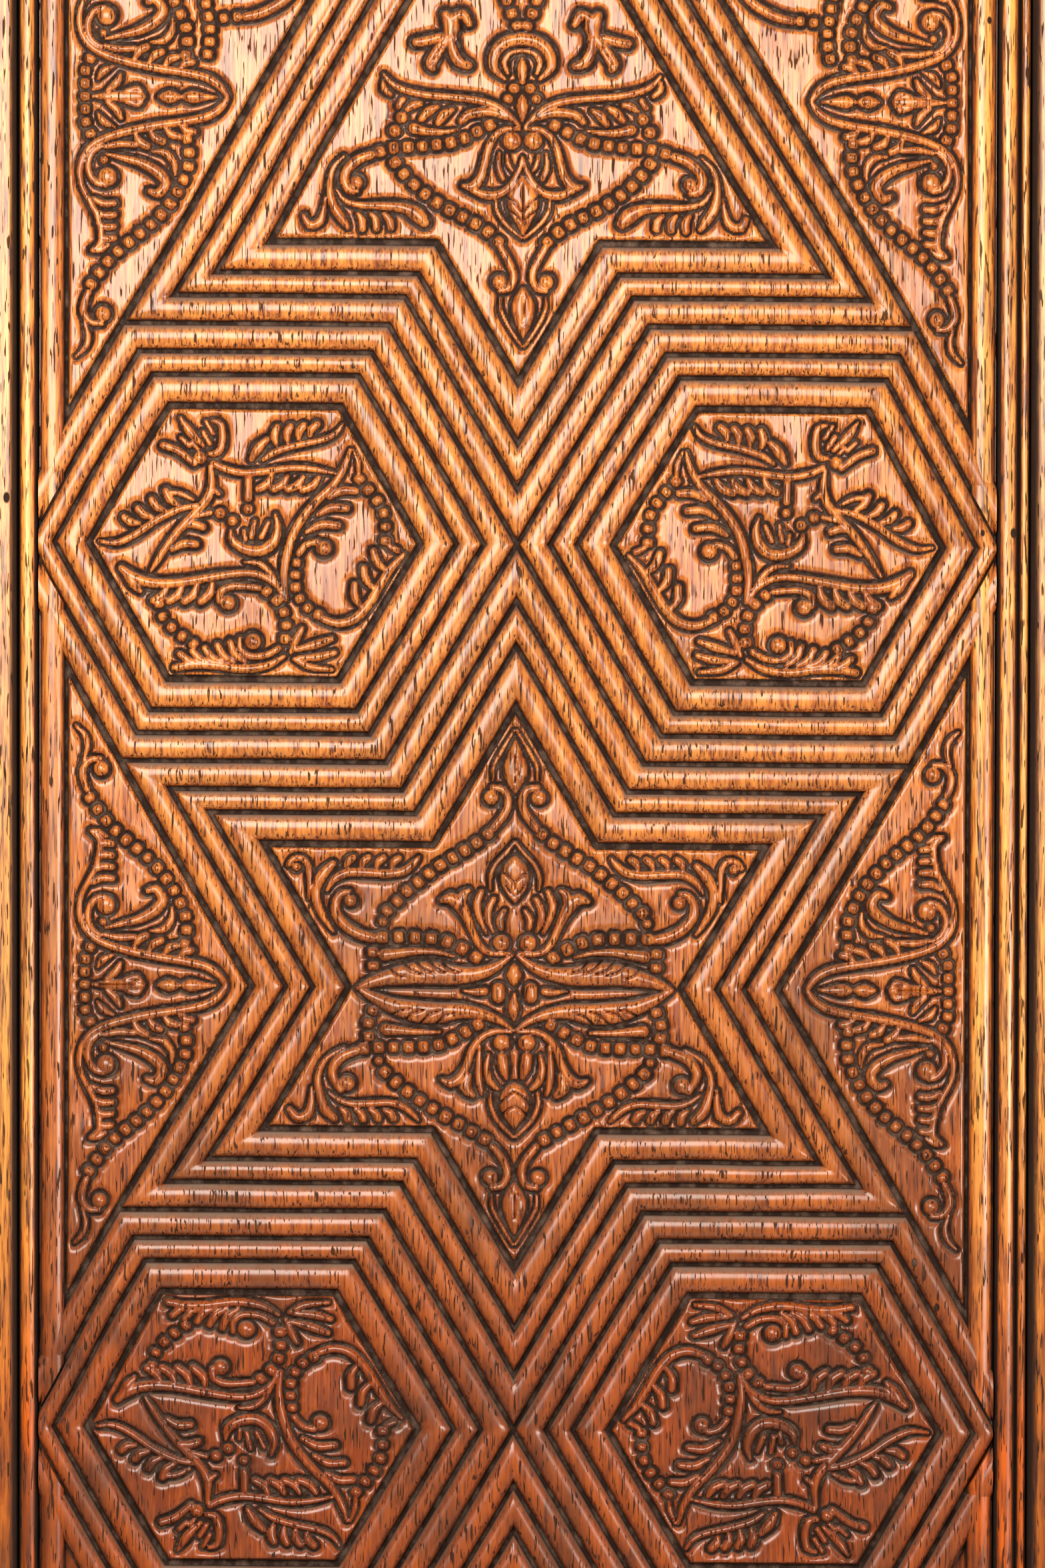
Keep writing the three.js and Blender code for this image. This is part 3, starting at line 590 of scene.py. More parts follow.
HEAD_AXIS = [
    *stem((0, -29, 2.4), (0, -37, 12.5), (0, -44, 8), (0, -50, 1.6)),
    *cut(1.1, (0, -32), (0, -39), (0, -47)),
    *stem((0, -71, 3), (0, -77, 9.5), (0, -83, 7), (0, -88.5, 1.5)),
    *cut(1.1, (0, -73), (0.3, -78), (0, -84)),
    *stem((0, 6.5, 2.6), (0, 11.5, 4.6), (0, 15.5, 1.5)),
    *stem((0, 1.5, 1.8), (0, -2.5, 5), (0, -7.5, 1.8)),
]

# One half of a spandrel, from the edge bead; the rest mirrors it
SPANDREL_HALF = [
    *stem((4.5, 97, 1.5), (8, 93.5, 2.8), (9, 89, 2.8), (7.5, 84, 1.5)),
    *ball(3.4, 14.3, 81),
    *stem((14, 84.7, 2.4), (10, 84.2, 3.2), (7.2, 80.5, 3.5), (7.8, 76, 3.5), (9, 73, 3)),
    *beads(4.7, (10, 70), (13.5, 65), (17.5, 60), (23, 55), (31, 48.5), (35.5, 44), (39.5, 39), (43.5, 32),
           (46, 26), (46.5, 20), (45.8, 15.5)),
    *stem((10.5, 57.5, 2.5), (13.8, 54.5, 3.5), (13.5, 49, 3), (12, 43.5, 3), (9, 38, 2.8), (6.5, 33, 2.6),
          (6, 27, 3), (7.5, 22, 3.2), (11, 18, 3.5), (17, 15, 3.8), (26, 12.5, 4), (36, 10.5, 4),
          (46, 9, 4), (54, 7, 4), (58.5, 4, 3.5), (61, 0.5, 2.5)),
    *stem((11, 57.7, 2.2), (13.5, 57.3, 2.8), (16.3, 55.5, 1.8)),
    *lobes(4, 4, (13.3, 52), (11, 38), (18.3, 52.8), (18.5, 39.8)),
    *lobes(4, 4.4, (27, 14.3), (44, 11), (31.3, 18.5), (48.3, 13)),
    *stem((15.5, 18.8, 2.4), (21, 17.7, 3.4), (27, 18, 2.8)),
    *ball(4.1, 16.3, 30),
    *stem((15.5, 33.3, 2.4), (12.3, 32.2, 3.2), (9.7, 29, 3.2), (9.1, 25, 3.2), (10.8, 20.8, 3),
          (14, 18.6, 2.4)),
    *ball(1.8, 15, 23.6),
    *stem((16, 21.4, 1.5), (22, 22.9, 3), (29, 24.8, 4.2), (35, 28.3, 5), (37.4, 32.2, 4.8), (35, 36, 4.2),
          (32, 35.3, 3)),
    *stem((33, 20.3, 1.5), (38, 21, 3.4), (41, 25, 3), (41, 29, 1.5)),
    *beads(4.5, (10, 14), (8.2, 9.8), (8, 5), (8, 0)),
    *stem((13, 6.5, 1.5), (15, 9.3, 3.6), (19, 11.3, 1.5)),
    *stem((16.5, 2, 2.6), (20, 5, 3.8), (21.5, 8, 2.2)),
    *stem((24, 2, 3), (28, 3, 3), (29.8, 1, 2)),
]

SPANDREL_AXIS = [
    *stem((11, 0, 1.8), (18, 0, 4.6), (24, 0, 5.6), (29.5, 0, 4)),
    *cut(1.3, (13, 0), (28, 0)),
    *stem((36, 0, 2), (39.8, 0, 6), (43, 0, 3)),
    *stem((45, 0, 2.6), (48, 0, 5.8), (53, 0, 3.4), (57, 0, 1.5)),
]

# At the head the spandrel widens, and a stem runs across to the strapwork
HEAD_SPANDREL_STEM = [
    *beads(4.6, (52, 44), (53.5, 34), (55, 24), (54, 16)),
    *beads(4.4, (60, 29.5), (65, 30)),
    *stem((68, 30, 4), (74, 31.5, 4.6), (82, 36, 4.6), (90, 44, 3)),
]


# Height of a carved field over its ground plan

# Shoulders of the ground around the strokes and along the field's rim, in millimetres
GROUND_ROUND = 2.9
OUTLINE_GAP = 0.3
RIM_ROUND = 3.2
RIM_GAP = 1.0
RIM_TOP = 1.1
RIM_DROP = 1.3
STROKE_MARGIN = 0.5
FLOOR_MARGIN = 0.2
# Shape of a stroke: rise by half width within two limits, shoulder and fullness of its dome, depth of cuts
STROKE_RISE = (1.3, 0.6)
STROKE_LIMITS = (1.6, 2.9)
SHOULDER = 3.6
DOME_FULLNESS = 2.0
CUT_DEPTH = 1.9
# The ground waves a little and has fine tool marks along the length; the strokes take half of it
GROUND_WAVE = (0.22, 34)
TOOL_MARKS = (0.03, 5)
TOOL_MARK_STRETCH = (1, 0.3)
STROKE_WAVE = 0.5
# How far below the ground dirt and painted shade start to lie, and where they are full
DIRT_AND_SHADE_DEPTH = 1.0
DIRT_AND_SHADE_SPAN = 0.8
BLUR_ROUNDS = 3


def shoulder_drop(gap, reach):
    """How far a rounded shoulder lies below its top, as a share, at a gap from its foot."""
    return (1 - np.clip(gap / reach, 0, 1)) ** 2


def gap_to_path(points, path):
    """Gap to the edge of a swept stroke, negative inside, and the stroke's half width there."""
    if len(path) == 1:
        half = np.full(len(points), path[0, 2] / 2)
        return np.linalg.norm(points - path[0, :2], axis=1) - half, half
    gap = np.full(len(points), np.inf)
    half = np.ones(len(points))
    for a, b in zip(path, path[1:]):
        ab = b[:2] - a[:2]
        share = np.clip(((points - a[:2]) @ ab) / (ab @ ab), 0, 1)
        radius = (a[2] + share * (b[2] - a[2])) / 2
        here = np.linalg.norm(points - a[:2] - share[:, None] * ab, axis=1) - radius
        closer = here < gap
        gap = np.where(closer, here, gap)
        half = np.where(closer, radius, half)
    return gap, half


def gap_to_bead(points, path):
    """Gap to the edge of a barrel with rounded corners, negative inside, and its half width."""
    middle = path[:, :2].mean(axis=0)
    along = path[1, :2] - path[0, :2]
    length = np.linalg.norm(along)
    along = along / length
    half = path[0, 2] / 2
    corner = min(BEAD_CORNER, length / 2, half)
    offset = np.abs(np.column_stack(((points - middle) @ along, (points - middle) @ [-along[1], along[0]])))
    beyond = offset - [length / 2 - corner, half - corner]
    outside = np.linalg.norm(np.maximum(beyond, 0), axis=1)
    return outside + np.minimum(beyond.max(axis=1), 0) - corner, np.full(len(points), half)


def stroke_rise(half):
    """Height of a stroke's crest above its foot, by its half width."""
    return np.clip(STROKE_RISE[0] + STROKE_RISE[1] * half, *STROKE_LIMITS)


def carved_height(points, strokes, outline, size, seed):
    """Height of the carving at each point of a field, in millimetres in front of the back."""
    gap = np.full(len(points), np.inf)
    crest = np.full(len(points), -np.inf)
    scoring = np.zeros(len(points))
    reach = GROUND_ROUND + OUTLINE_GAP + STROKE_MARGIN
    for kind, path in strokes:
        margin = path[:, 2].max() / 2 + reach
        low, high = path[:, :2].min(axis=0) - margin, path[:, :2].max(axis=0) + margin
        near = np.flatnonzero(np.all((points > low) & (points < high), axis=1))
        if len(near) == 0:
            continue
        here, half = (gap_to_bead if kind == "bead" else gap_to_path)(points[near], path)
        if kind == "cut":
            scoring[near] = np.maximum(scoring[near], np.clip(-here / half, 0, 1))
            continue
        across = 1 - np.clip(-here / np.minimum(half, SHOULDER), 0, 1)
        dome = 1 - across ** DOME_FULLNESS
        top = size.carving_foot + stroke_rise(half) * dome
        crest[near] = np.maximum(crest[near], np.where(here < 0, top, -np.inf))
        gap[near] = np.minimum(gap[near], here)
    relief = size.ground - size.carving_foot
    uneven = unevenness(points, [GROUND_WAVE], [seed])
    uneven = uneven + unevenness(points * TOOL_MARK_STRETCH, [TOOL_MARKS], [seed + 1])
    ground = size.ground + uneven - relief * shoulder_drop(gap - OUTLINE_GAP, GROUND_ROUND)
    from_rim = distance_inside(points, outline) - RIM_GAP
    rim = (size.ground + RIM_DROP - size.groove_floor) * shoulder_drop(from_rim, RIM_ROUND)
    height = np.maximum(ground, crest + STROKE_WAVE * uneven) - CUT_DEPTH * scoring
    return np.maximum(np.minimum(height, size.ground + RIM_TOP - rim), size.groove_floor - FLOOR_MARGIN)


def carved_hollow(height, size):
    """How deep a point of a field lies in the cut outlines, from 0 on the ground to 1 in the hollows, which
    darkens it with glaze and painted shade.
    """
    return np.clip((size.ground - DIRT_AND_SHADE_DEPTH - height) / DIRT_AND_SHADE_SPAN, 0, 1)


def blurred(table, reach):
    """A table of heights smoothed over a reach of cells, by repeated running means."""
    for _ in range(BLUR_ROUNDS):
        for axis in (0, 1):
            padded = np.pad(table, [(reach + 1, reach) if a == axis else (0, 0) for a in (0, 1)], mode="edge")
            total = np.cumsum(padded, axis=axis)
            ends = np.take(total, range(2 * reach + 1, total.shape[axis]), axis=axis)
            starts = np.take(total, range(0, total.shape[axis] - 2 * reach - 1), axis=axis)
            table = (ends - starts) / (2 * reach + 1)
    return table


def cavity(height, shares, columns, rows, reach):
    """How far each point of a grid lies below its surroundings, in millimetres, negative on crests."""
    column = np.rint(shares[:, 0] * columns).astype(int)
    row = np.rint(shares[:, 1] * rows).astype(int)
    table = np.empty((rows + 1, columns + 1))
    table[row, column] = height
    return (blurred(table, reach) - table)[row, column]


# Mesh helpers: every piece starts as a primitive and is shaped in edit mode

WELD = 0.01 * MM
# Faces that meet at less than these angles in degrees are smooth
SMOOTH_ANGLE = 50
FIELD_SMOOTH_ANGLE = 80
# Dust lies where a side faces up by more than this share, and is full a span further on
DUST_SLOPE = 0.3
DUST_SPAN = 0.3


def start_grid(name, columns, rows):
    """A new grid object, selected alone, with the given number of cells."""
    bpy.ops.object.select_all(action="DESELECT")
    bpy.ops.mesh.primitive_grid_add(x_subdivisions=columns, y_subdivisions=rows, size=1)
    piece = bpy.context.object
    piece.name = piece.data.name = name
    return piece


def grid_shares(piece):
    """Where each vertex of a new grid lies across and along it, from 0 to 1."""
    places = np.empty(len(piece.data.vertices) * 3)
    piece.data.vertices.foreach_get("co", places)
    return places.reshape(-1, 3)[:, :2] + 0.5


def set_places(piece, x, height, z):
    """Puts the vertices at X and Z and at a height in front of the back, all in millimetres."""
    places = np.column_stack((x, -np.asarray(height), z)) * MM
    piece.data.vertices.foreach_set("co", places.ravel())
    piece.data.update()


def set_shade_dirt_and_dust(piece, hollow, shade, dust_share=0.0):
    """Stores how hollow each point is, which darkens it with glaze and painted shade, how dusty it is, and
    its painted shade, from -1 on crests painted pale, a highlight as well as wear, to 1.

    Dust lies on the sides that face up.
    """
    facing = np.empty(len(piece.data.vertices) * 3, dtype=np.float32)
    piece.data.vertex_normals.foreach_get("vector", facing)
    facing = facing.reshape(-1, 3)
    upward = -np.sign(facing[:, 1]) * facing[:, 2]
    dust = dust_share * np.clip((upward - DUST_SLOPE) / DUST_SPAN, 0, 1)
    for name, values in (("hollow", hollow), ("shade", shade), ("dust", dust)):
        attribute = piece.data.attributes.new(name, "FLOAT", "POINT")
        attribute.data.foreach_set("value", np.asarray(values, dtype=np.float32))


def edit_selected(elements, kind, marks):
    """Opens edit mode with only the marked edges or faces selected."""
    bpy.ops.object.mode_set(mode="EDIT")
    bpy.ops.mesh.select_mode(type=kind)
    bpy.ops.mesh.select_all(action="DESELECT")
    bpy.ops.object.mode_set(mode="OBJECT")
    elements.foreach_set("select", np.asarray(marks, dtype=bool))
    bpy.ops.object.mode_set(mode="EDIT")


def delete_cells(piece, doomed):
    """Deletes the marked faces, and the loose points that they leave."""
    edit_selected(piece.data.polygons, "FACE", doomed)
    bpy.ops.mesh.delete(type="FACE")
    bpy.ops.object.mode_set(mode="OBJECT")


def weld():
    """Merges the points of the active piece that lie in one place."""
    bpy.ops.object.mode_set(mode="EDIT")
    bpy.ops.mesh.select_all(action="SELECT")
    bpy.ops.mesh.remove_doubles(threshold=WELD)
    bpy.ops.object.mode_set(mode="OBJECT")


def face_outwards():
    """Turns all faces of the piece in edit mode outwards and leaves edit mode."""
    bpy.ops.mesh.select_all(action="SELECT")
    bpy.ops.mesh.normals_make_consistent(inside=False)
    bpy.ops.object.mode_set(mode="OBJECT")


def pull_rim_back(piece, level):
    """Extrudes the open rims straight back to a level, and stays in edit mode with them selected."""
    bpy.ops.object.mode_set(mode="EDIT")
    bpy.ops.mesh.select_mode(type="EDGE")
    bpy.ops.mesh.select_all(action="DESELECT")
    bpy.ops.mesh.select_non_manifold(extend=False, use_wire=False, use_multi_face=False, use_verts=False)
    bpy.ops.mesh.extrude_edges_move()
    bpy.ops.object.mode_set(mode="OBJECT")
    for vertex in piece.data.vertices:
        if vertex.select:
            vertex.co.y = -level * MM
    bpy.ops.object.mode_set(mode="EDIT")


def close_back(piece, level):
    """Pulls the open rim back to a level and closes it there with one face."""
    pull_rim_back(piece, level)
    bpy.ops.mesh.edge_face_add()
    face_outwards()


def trim(piece, axis, at, side):
    """Cuts the piece off square where it passes a plane, and closes the cut."""
    normal = [0, 0, 0]
    normal[axis] = side
    point = [0, 0, 0]
    point[axis] = at * MM
    bpy.ops.object.mode_set(mode="EDIT")
    bpy.ops.mesh.select_all(action="SELECT")
    bpy.ops.mesh.bisect(plane_co=point, plane_no=normal, use_fill=True, clear_outer=True)
    bpy.ops.object.mode_set(mode="OBJECT")


def trim_to_board(piece):
    """Cuts the piece off where it passes the edges of the carved board."""
    places = [vertex.co for vertex in piece.data.vertices]
    for axis in (0, 2):
        low, high = PANEL_LOW[axis], PANEL_HIGH[axis]
        if min(place[axis] for place in places) < low:
            trim(piece, axis, low / MM, -1)
        if max(place[axis] for place in places) > high:
            trim(piece, axis, high / MM, 1)


def finish_piece(piece, material, angle=SMOOTH_ANGLE):
    """Smooths the piece, gives it its finish and fixes it to the frame."""
    bpy.ops.object.select_all(action="DESELECT")
    piece.select_set(True)
    bpy.context.view_layer.objects.active = piece
    bpy.ops.object.shade_smooth_by_angle(angle=math.radians(angle))
    piece.data.materials.clear()
    piece.data.materials.append(material)
    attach(piece, "root")
    return piece


# Finishes


def add_node(tree, kind, settings=None, inputs=None, links=None):
    """Adds a node, sets its properties and input values, and links its inputs to other outputs."""
    node = tree.nodes.new(kind)
    for key, value in (settings or {}).items():
        setattr(node, key, value)
    for key, value in (inputs or {}).items():
        node.inputs[key].default_value = value
    for key, output in (links or {}).items():
        tree.links.new(output, node.inputs[key])
    return node


def colour4(rgb):
    """A colour with full alpha."""
    return (*rgb[:3], 1.0)


# Each grain's size across, into and along the wood in millimetres, its detail and its seed
# Real fibres and pores are 0.2 to 0.4 mm across: they are drawn coarser, so that they show in the render
GRAINS = (
    ("figure", (3.0, 9.0, 110.0), 3.0, 3.1),
    ("fibre", (0.95, 1.6, 18.0), 4.0, 7.7),
    ("pore", (0.8, 1.2, 10.0), 1.0, 12.3),
    ("blotch", (5.0, 5.0, 7.0), 3.0, 17.9),
    ("fleck", (0.45, 0.45, 0.45), 2.0, 21.0),
    ("grime", (24.0, 24.0, 42.0), 3.0, 25.4),
)
GRAIN_ROUGHNESS = 0.6

# Masks from a grain, the painted shade, dirt and dust attributes or an earlier mask: where each starts and is
# full, and its values there
RAMPS = (
    ("open_pore", "pore", 0.61, 0.65, 0, 1),
    ("pore_glaze", "open_pore", 0, 1, 0, 0.9),
    # Pale crests from the shade attribute: a painted highlight as well as wear
    ("neither_highlit_nor_worn", "shade", -0.55, 0.12, 0, 1),
    ("figure_streak", "figure", 0.42, 0.62, 0, 0.7),
    ("pale_fibre", "fibre", 0.50, 0.36, 0, 0.75),
    ("brown_fibre", "fibre", 0.50, 0.62, 0, 0.7),
    ("dark_fibre", "fibre", 0.55, 0.68, 0, 0.85),
    # Painted shade from the shade attribute: darker flanks, feet and low places
    ("side", "shade", 0.10, 0.50, 0, 1),
    ("side_foot", "shade", 0.45, 0.95, 0, 1),
    ("low_place", "shade", 0.05, 0.4, 0, 1),
    ("dirt_blotch", "blotch", 0.45, 0.65, 0, 0.8),
    # Dark patches, stronger towards the bottom
    ("grime_patch", "grime", 0.46, 0.66, 0, 1),
    ("grime_by_height", "height_fade", 0, 1, 0.6, 0.28),
    ("dust_blotch", "blotch", 0.3, 0.55, 0.65, 1),
    # Dark glaze and painted shade in the hollows
    ("groove_glaze_and_shade", "hollow", 0.1, 0.7, 0, 1),
    ("groove", "hollow", 0.55, 1.0, 0, 1),
    ("dust_fleck", "fleck", 0.30, 0.60, 0.45, 1),
    ("fibre_relief", "fibre", 0.2, 0.8, 0, 0.4),
)
# Most of the dust that lies in the grooves of a dusty wood
GROOVE_DUST = 0.7

# Masks that two others make
JOINED_MASKS = (
    # Dirt blotches with painted shade in low places
    ("low_dirt_and_shade", "MULTIPLY", "low_place", "dirt_blotch"),
    ("foot_grime", "MULTIPLY", "grime_patch", "grime_by_height"),
    ("settled_dust", "MULTIPLY", "dust", "dust_blotch"),
    ("blotchy_dust", "MULTIPLY", "groove", "groove_blotch"),
    ("groove_dust", "MULTIPLY", "blotchy_dust", "dust_fleck"),
    ("bare", "MAXIMUM", "hollow", "open_pore"),
    ("matt", "MAXIMUM", "bare", "dust"),
    ("relief", "SUBTRACT", "fibre_relief", "open_pore"),
)

# Layers of colour over the pale wood, a painted highlight as well as wear, from the first to the last: mask
# and colour
LAYERS = (
    ("neither_highlit_nor_worn", "warm"),
    ("figure_streak", "flank"),
    ("pale_fibre", "pale"),
    ("brown_fibre", "flank"),
    ("dark_fibre", "deep"),
    ("side", "flank"),
    ("side_foot", "deep"),
    ("low_dirt_and_shade", "deep"),
    ("foot_grime", "deep"),
    ("pore_glaze", "glaze"),
    ("settled_dust", "dust"),
    ("groove_glaze_and_shade", "glaze"),
    ("groove_dust", "dust"),
)
# The colour sockets of a mix node, which share their names with its other sockets
MIX_FIRST, MIX_SECOND, MIX_RESULT = 6, 7, 2

# Small holes left by brads, and a dent: X, Z and radius in millimetres; they are longer along the grain. They
# are painted dark, as glaze and painted shade inside them.
PITS = (
    (186.0, 94.1, 1.2),
    (174.5, 94.1, 0.8),
    (150.0, -179.1, 1.1),
    (158.5, -195.9, 1.0),
    (176.3, 285.1, 0.9),
    (-189.8, 106.6, 1.3),
)
PIT_SQUASH = 0.6
PIT_EDGE = (0.6, 1.2)


def stained_hardwood(name, highlit_worn, body, fade, coat, dustiness):
    """Stained and varnished open-pored hardwood; the pale crest colours, a painted highlight as well as wear,
    and the body colours each hold a top and a foot colour.

    The foot colours fade into the top ones between the two levels of fade, in metres.
    To the eye: crests painted pale, a highlight as well as wear, red-brown flanks and dark feet as painted
    shade, fine streaks and short dark pores along the length, a soft gloss, and dark glaze and painted shade
    with grey dust in the hollows.
    """
    colours = bpy.context.scene.carved_panel_colours
    material = bpy.data.materials.new(name)
    material.use_nodes = True
    tree = material.node_tree
    tree.nodes.clear()
    coordinates = add_node(tree, "ShaderNodeTexCoord").outputs["Object"]
    masks = {}
    for light_and_wear in ("hollow", "shade", "dust"):
        masks[light_and_wear] = add_node(tree, "ShaderNodeAttribute", {"attribute_name": light_and_wear}).outputs["Fac"]
    masks["height"] = add_node(tree, "ShaderNodeSeparateXYZ", links={"Vector": coordinates}).outputs["Z"]
    flat = add_node(tree, "ShaderNodeMapping", inputs={"Scale": (1, 0, PIT_SQUASH)},
                    links={"Vector": coordinates})
    for x, z, radius in PITS:
        away = add_node(tree, "ShaderNodeVectorMath", {"operation": "DISTANCE"},
                        {1: (x * MM, 0, z * MM * PIT_SQUASH)}, {0: flat.outputs["Vector"]})
        inside, outside = (share * radius * MM for share in PIT_EDGE)
        pit = add_node(tree, "ShaderNodeMapRange", {"clamp": True},
                       {"From Min": inside, "From Max": outside, "To Min": 1.0, "To Max": 0.0},
                       {"Value": away.outputs["Value"]})
        masks["hollow"] = add_node(tree, "ShaderNodeMath", {"operation": "MAXIMUM"},
                                   links={0: masks["hollow"], 1: pit.outputs["Result"]}).outputs["Value"]
    for grain, size, detail, seed in GRAINS:
        mapping = add_node(tree, "ShaderNodeMapping",
                           inputs={"Scale": [1 / (s * MM) for s in size], "Location": (seed, seed, seed)},
                           links={"Vector": coordinates})
        noise = add_node(tree, "ShaderNodeTexNoise",
                         inputs={"Scale": 1.0, "Detail": detail, "Roughness": GRAIN_ROUGHNESS},
                         links={"Vector": mapping.outputs["Vector"]})
        masks[grain] = noise.outputs["Fac"]
    # Colours darken and redden towards the bottom of the board
    own_ramps = (("height_fade", "height", *fade, 0, 1),
                 ("groove_blotch", "blotch", 0.45, 0.7, 0, GROOVE_DUST * dustiness))
    for mask, source, start, full, low, high in own_ramps + RAMPS:
        ramp = add_node(tree, "ShaderNodeMapRange", {"clamp": True},
                        {"From Min": start, "From Max": full, "To Min": low, "To Max": high},
                        {"Value": masks[source]})
        masks[mask] = ramp.outputs["Result"]
    for mask, operation, first, second in JOINED_MASKS:
        joined = add_node(tree, "ShaderNodeMath", {"operation": operation},
                          links={0: masks[first], 1: masks[second]})
        masks[mask] = joined.outputs["Value"]
    height_tints = {}
    for tint, (top, foot) in (("pale", highlit_worn), ("warm", body)):
        mix = add_node(tree, "ShaderNodeMix", {"data_type": "RGBA"},
                       {MIX_FIRST: colour4(foot), MIX_SECOND: colour4(top)}, {"Factor": masks["height_fade"]})
        height_tints[tint] = mix.outputs[MIX_RESULT]
    wood = height_tints["pale"]
    for mask, colour in LAYERS:
        links = {"Factor": masks[mask], MIX_FIRST: wood}
        inputs = {}
        if colour in height_tints:
            links[MIX_SECOND] = height_tints[colour]
        else:
            inputs[MIX_SECOND] = colour4(getattr(colours, colour))
        wood = add_node(tree, "ShaderNodeMix", {"data_type": "RGBA"}, inputs, links).outputs[MIX_RESULT]
    bump = add_node(tree, "ShaderNodeBump", inputs={"Strength": 0.14, "Distance": 0.25 * MM},
                    links={"Height": masks["relief"]})
    varnish = add_node(tree, "ShaderNodeMapRange", {"clamp": True},
                       {"From Min": 0.1, "From Max": 0.6, "To Min": coat, "To Max": 0.0},
                       {"Value": masks["matt"]})
    shader = add_node(tree, "ShaderNodeBsdfPrincipled",
                      inputs={"Roughness": 0.8, "Specular IOR Level": 0.1, "Coat Roughness": 0.28,
                              "Coat IOR": 1.8},
                      links={"Base Color": wood, "Normal": bump.outputs["Normal"],
                             "Coat Weight": varnish.outputs["Result"]})
    add_node(tree, "ShaderNodeOutputMaterial", links={"Surface": shader.outputs["BSDF"]})
    return material


def shared_finish(name, highlit_worn, body, **settings):
    """A finish that is made once; the first pair names the settings of the pale crest colour, a painted
    highlight as well as wear, and the second those of the body colour, each at the top and the foot.
    """
    if name in bpy.data.materials:
        return bpy.data.materials[name]
    colours = bpy.context.scene.carved_panel_colours
    highlit_worn, body = ([getattr(colours, part) for part in parts] for parts in (highlit_worn, body))
    return stained_hardwood(name, highlit_worn, body, **settings)


def carved_finish():
    """Finish of the carved board and its strapwork."""
    return shared_finish("stained_carved_hardwood", ("highlit_worn_top", "highlit_worn_foot"), ("body_top", "body_foot"),
                         fade=(-0.22, 0.03), coat=0.6, dustiness=0.95)


def strip_finish():
    """Finish of the yellower mouldings."""
    return shared_finish("varnished_moulding_hardwood", ("strip_highlit_worn", "strip_highlit_worn_foot"),
                         ("strip_body", "strip_body_foot"), fade=(-0.24, -0.1), coat=0.55, dustiness=0.12)


def stile_finish():
    """Finish of the paler stiles."""
    return shared_finish("varnished_stile_hardwood", ("stile_worn", "stile_worn_foot"),
                         ("stile_body", "stile_body_foot"), fade=(-0.24, -0.1), coat=0.55, dustiness=0.12)


# Strapwork

STATION_STEP = 3.0
FEWEST_STATIONS = 4
RIB_STEPS = 11
RIB_ROUNDNESS = 0.8
# How far the ring's foot runs on under the field
FOOT_LAP = 0.6
# Ribs wander sideways and wave up and down, as cut by hand: height and wavelength of each ripple
RIB_WANDER = ((0.22, 60), (0.22, 55))
RIB_WAVES = ((0.16, 48), (0.07, 13))
# How soon the wandering dies out towards the grooves
WANDER_FADE = 0.3
# Dirt and painted shade of a rib: in the groove, and how fast they fall towards the crest, which is painted
# pale, a highlight as well as wear
RIB_DIRT_AND_SHADE = (1.25, 2.4)
RIB_SHADE = (1.05, 1.45)
RIB_HIGHLIGHT_AND_WEAR = 0.45
# Dust lies below this share of a rib's height, and is full a span further down
DUST_TOP = 1.02
DUST_REACH = 0.3
# Span of the dirt and painted shade at the edges of a border bead, and steepness, power and pale middle of
# its painted shade; the pale middle is a painted highlight
BEAD_DIRT_AND_SHADE_SPAN = 0.2
BEAD_SHADE = (1.9, 2.2, 0.5)


def rib_hollow(rise):
    """How hollow a rib lies at a share of its height, which darkens it with glaze and painted shade."""
    return np.clip(RIB_DIRT_AND_SHADE[0] - RIB_DIRT_AND_SHADE[1] * rise, 0, 1)


def bead_hollow(aside, start):
    """How much dirt and painted shade darken a border bead at a share of its half width from its middle."""
    return np.clip((aside - start) / BEAD_DIRT_AND_SHADE_SPAN, 0, 1)


def bead_shade(aside):
    """How much painted shade a border bead has at a share of its half width from its middle; its middle is
    painted pale as a highlight.
    """
    steepness, power, light_and_wear = BEAD_SHADE
    return np.clip(steepness * np.asarray(aside) ** power - light_and_wear, -light_and_wear, 1)


def rib_shade(rise):
    """How much painted shade a rib has at a share of its height: dark in the grooves and painted pale on the
    crest, a highlight as well as wear.
    """
    return np.clip(RIB_SHADE[0] - RIB_SHADE[1] * rise, -RIB_HIGHLIGHT_AND_WEAR, 1)


def rib_profile(size):
    """Inset and height across the three ribs, from the outer groove to the field."""
    insets, heights = [0.0], [size.groove_floor]
    rise = size.rib_crest - size.groove_floor
    start = 0.0
    for width in (size.outer_rib, size.middle_rib, size.inner_rib):
        half = (width - size.groove) / 2
        for step in range(RIB_STEPS + 1):
            angle = math.pi * step / RIB_STEPS
            insets.append(start + width / 2 - half * math.cos(angle))
            heights.append(size.groove_floor + rise * math.sin(angle) ** RIB_ROUNDNESS)
        start += width
        insets.append(start)
        heights.append(size.groove_floor)
    insets.append(start + FOOT_LAP)
    heights.append(size.groove_floor)
    return np.array(insets), np.array(heights)


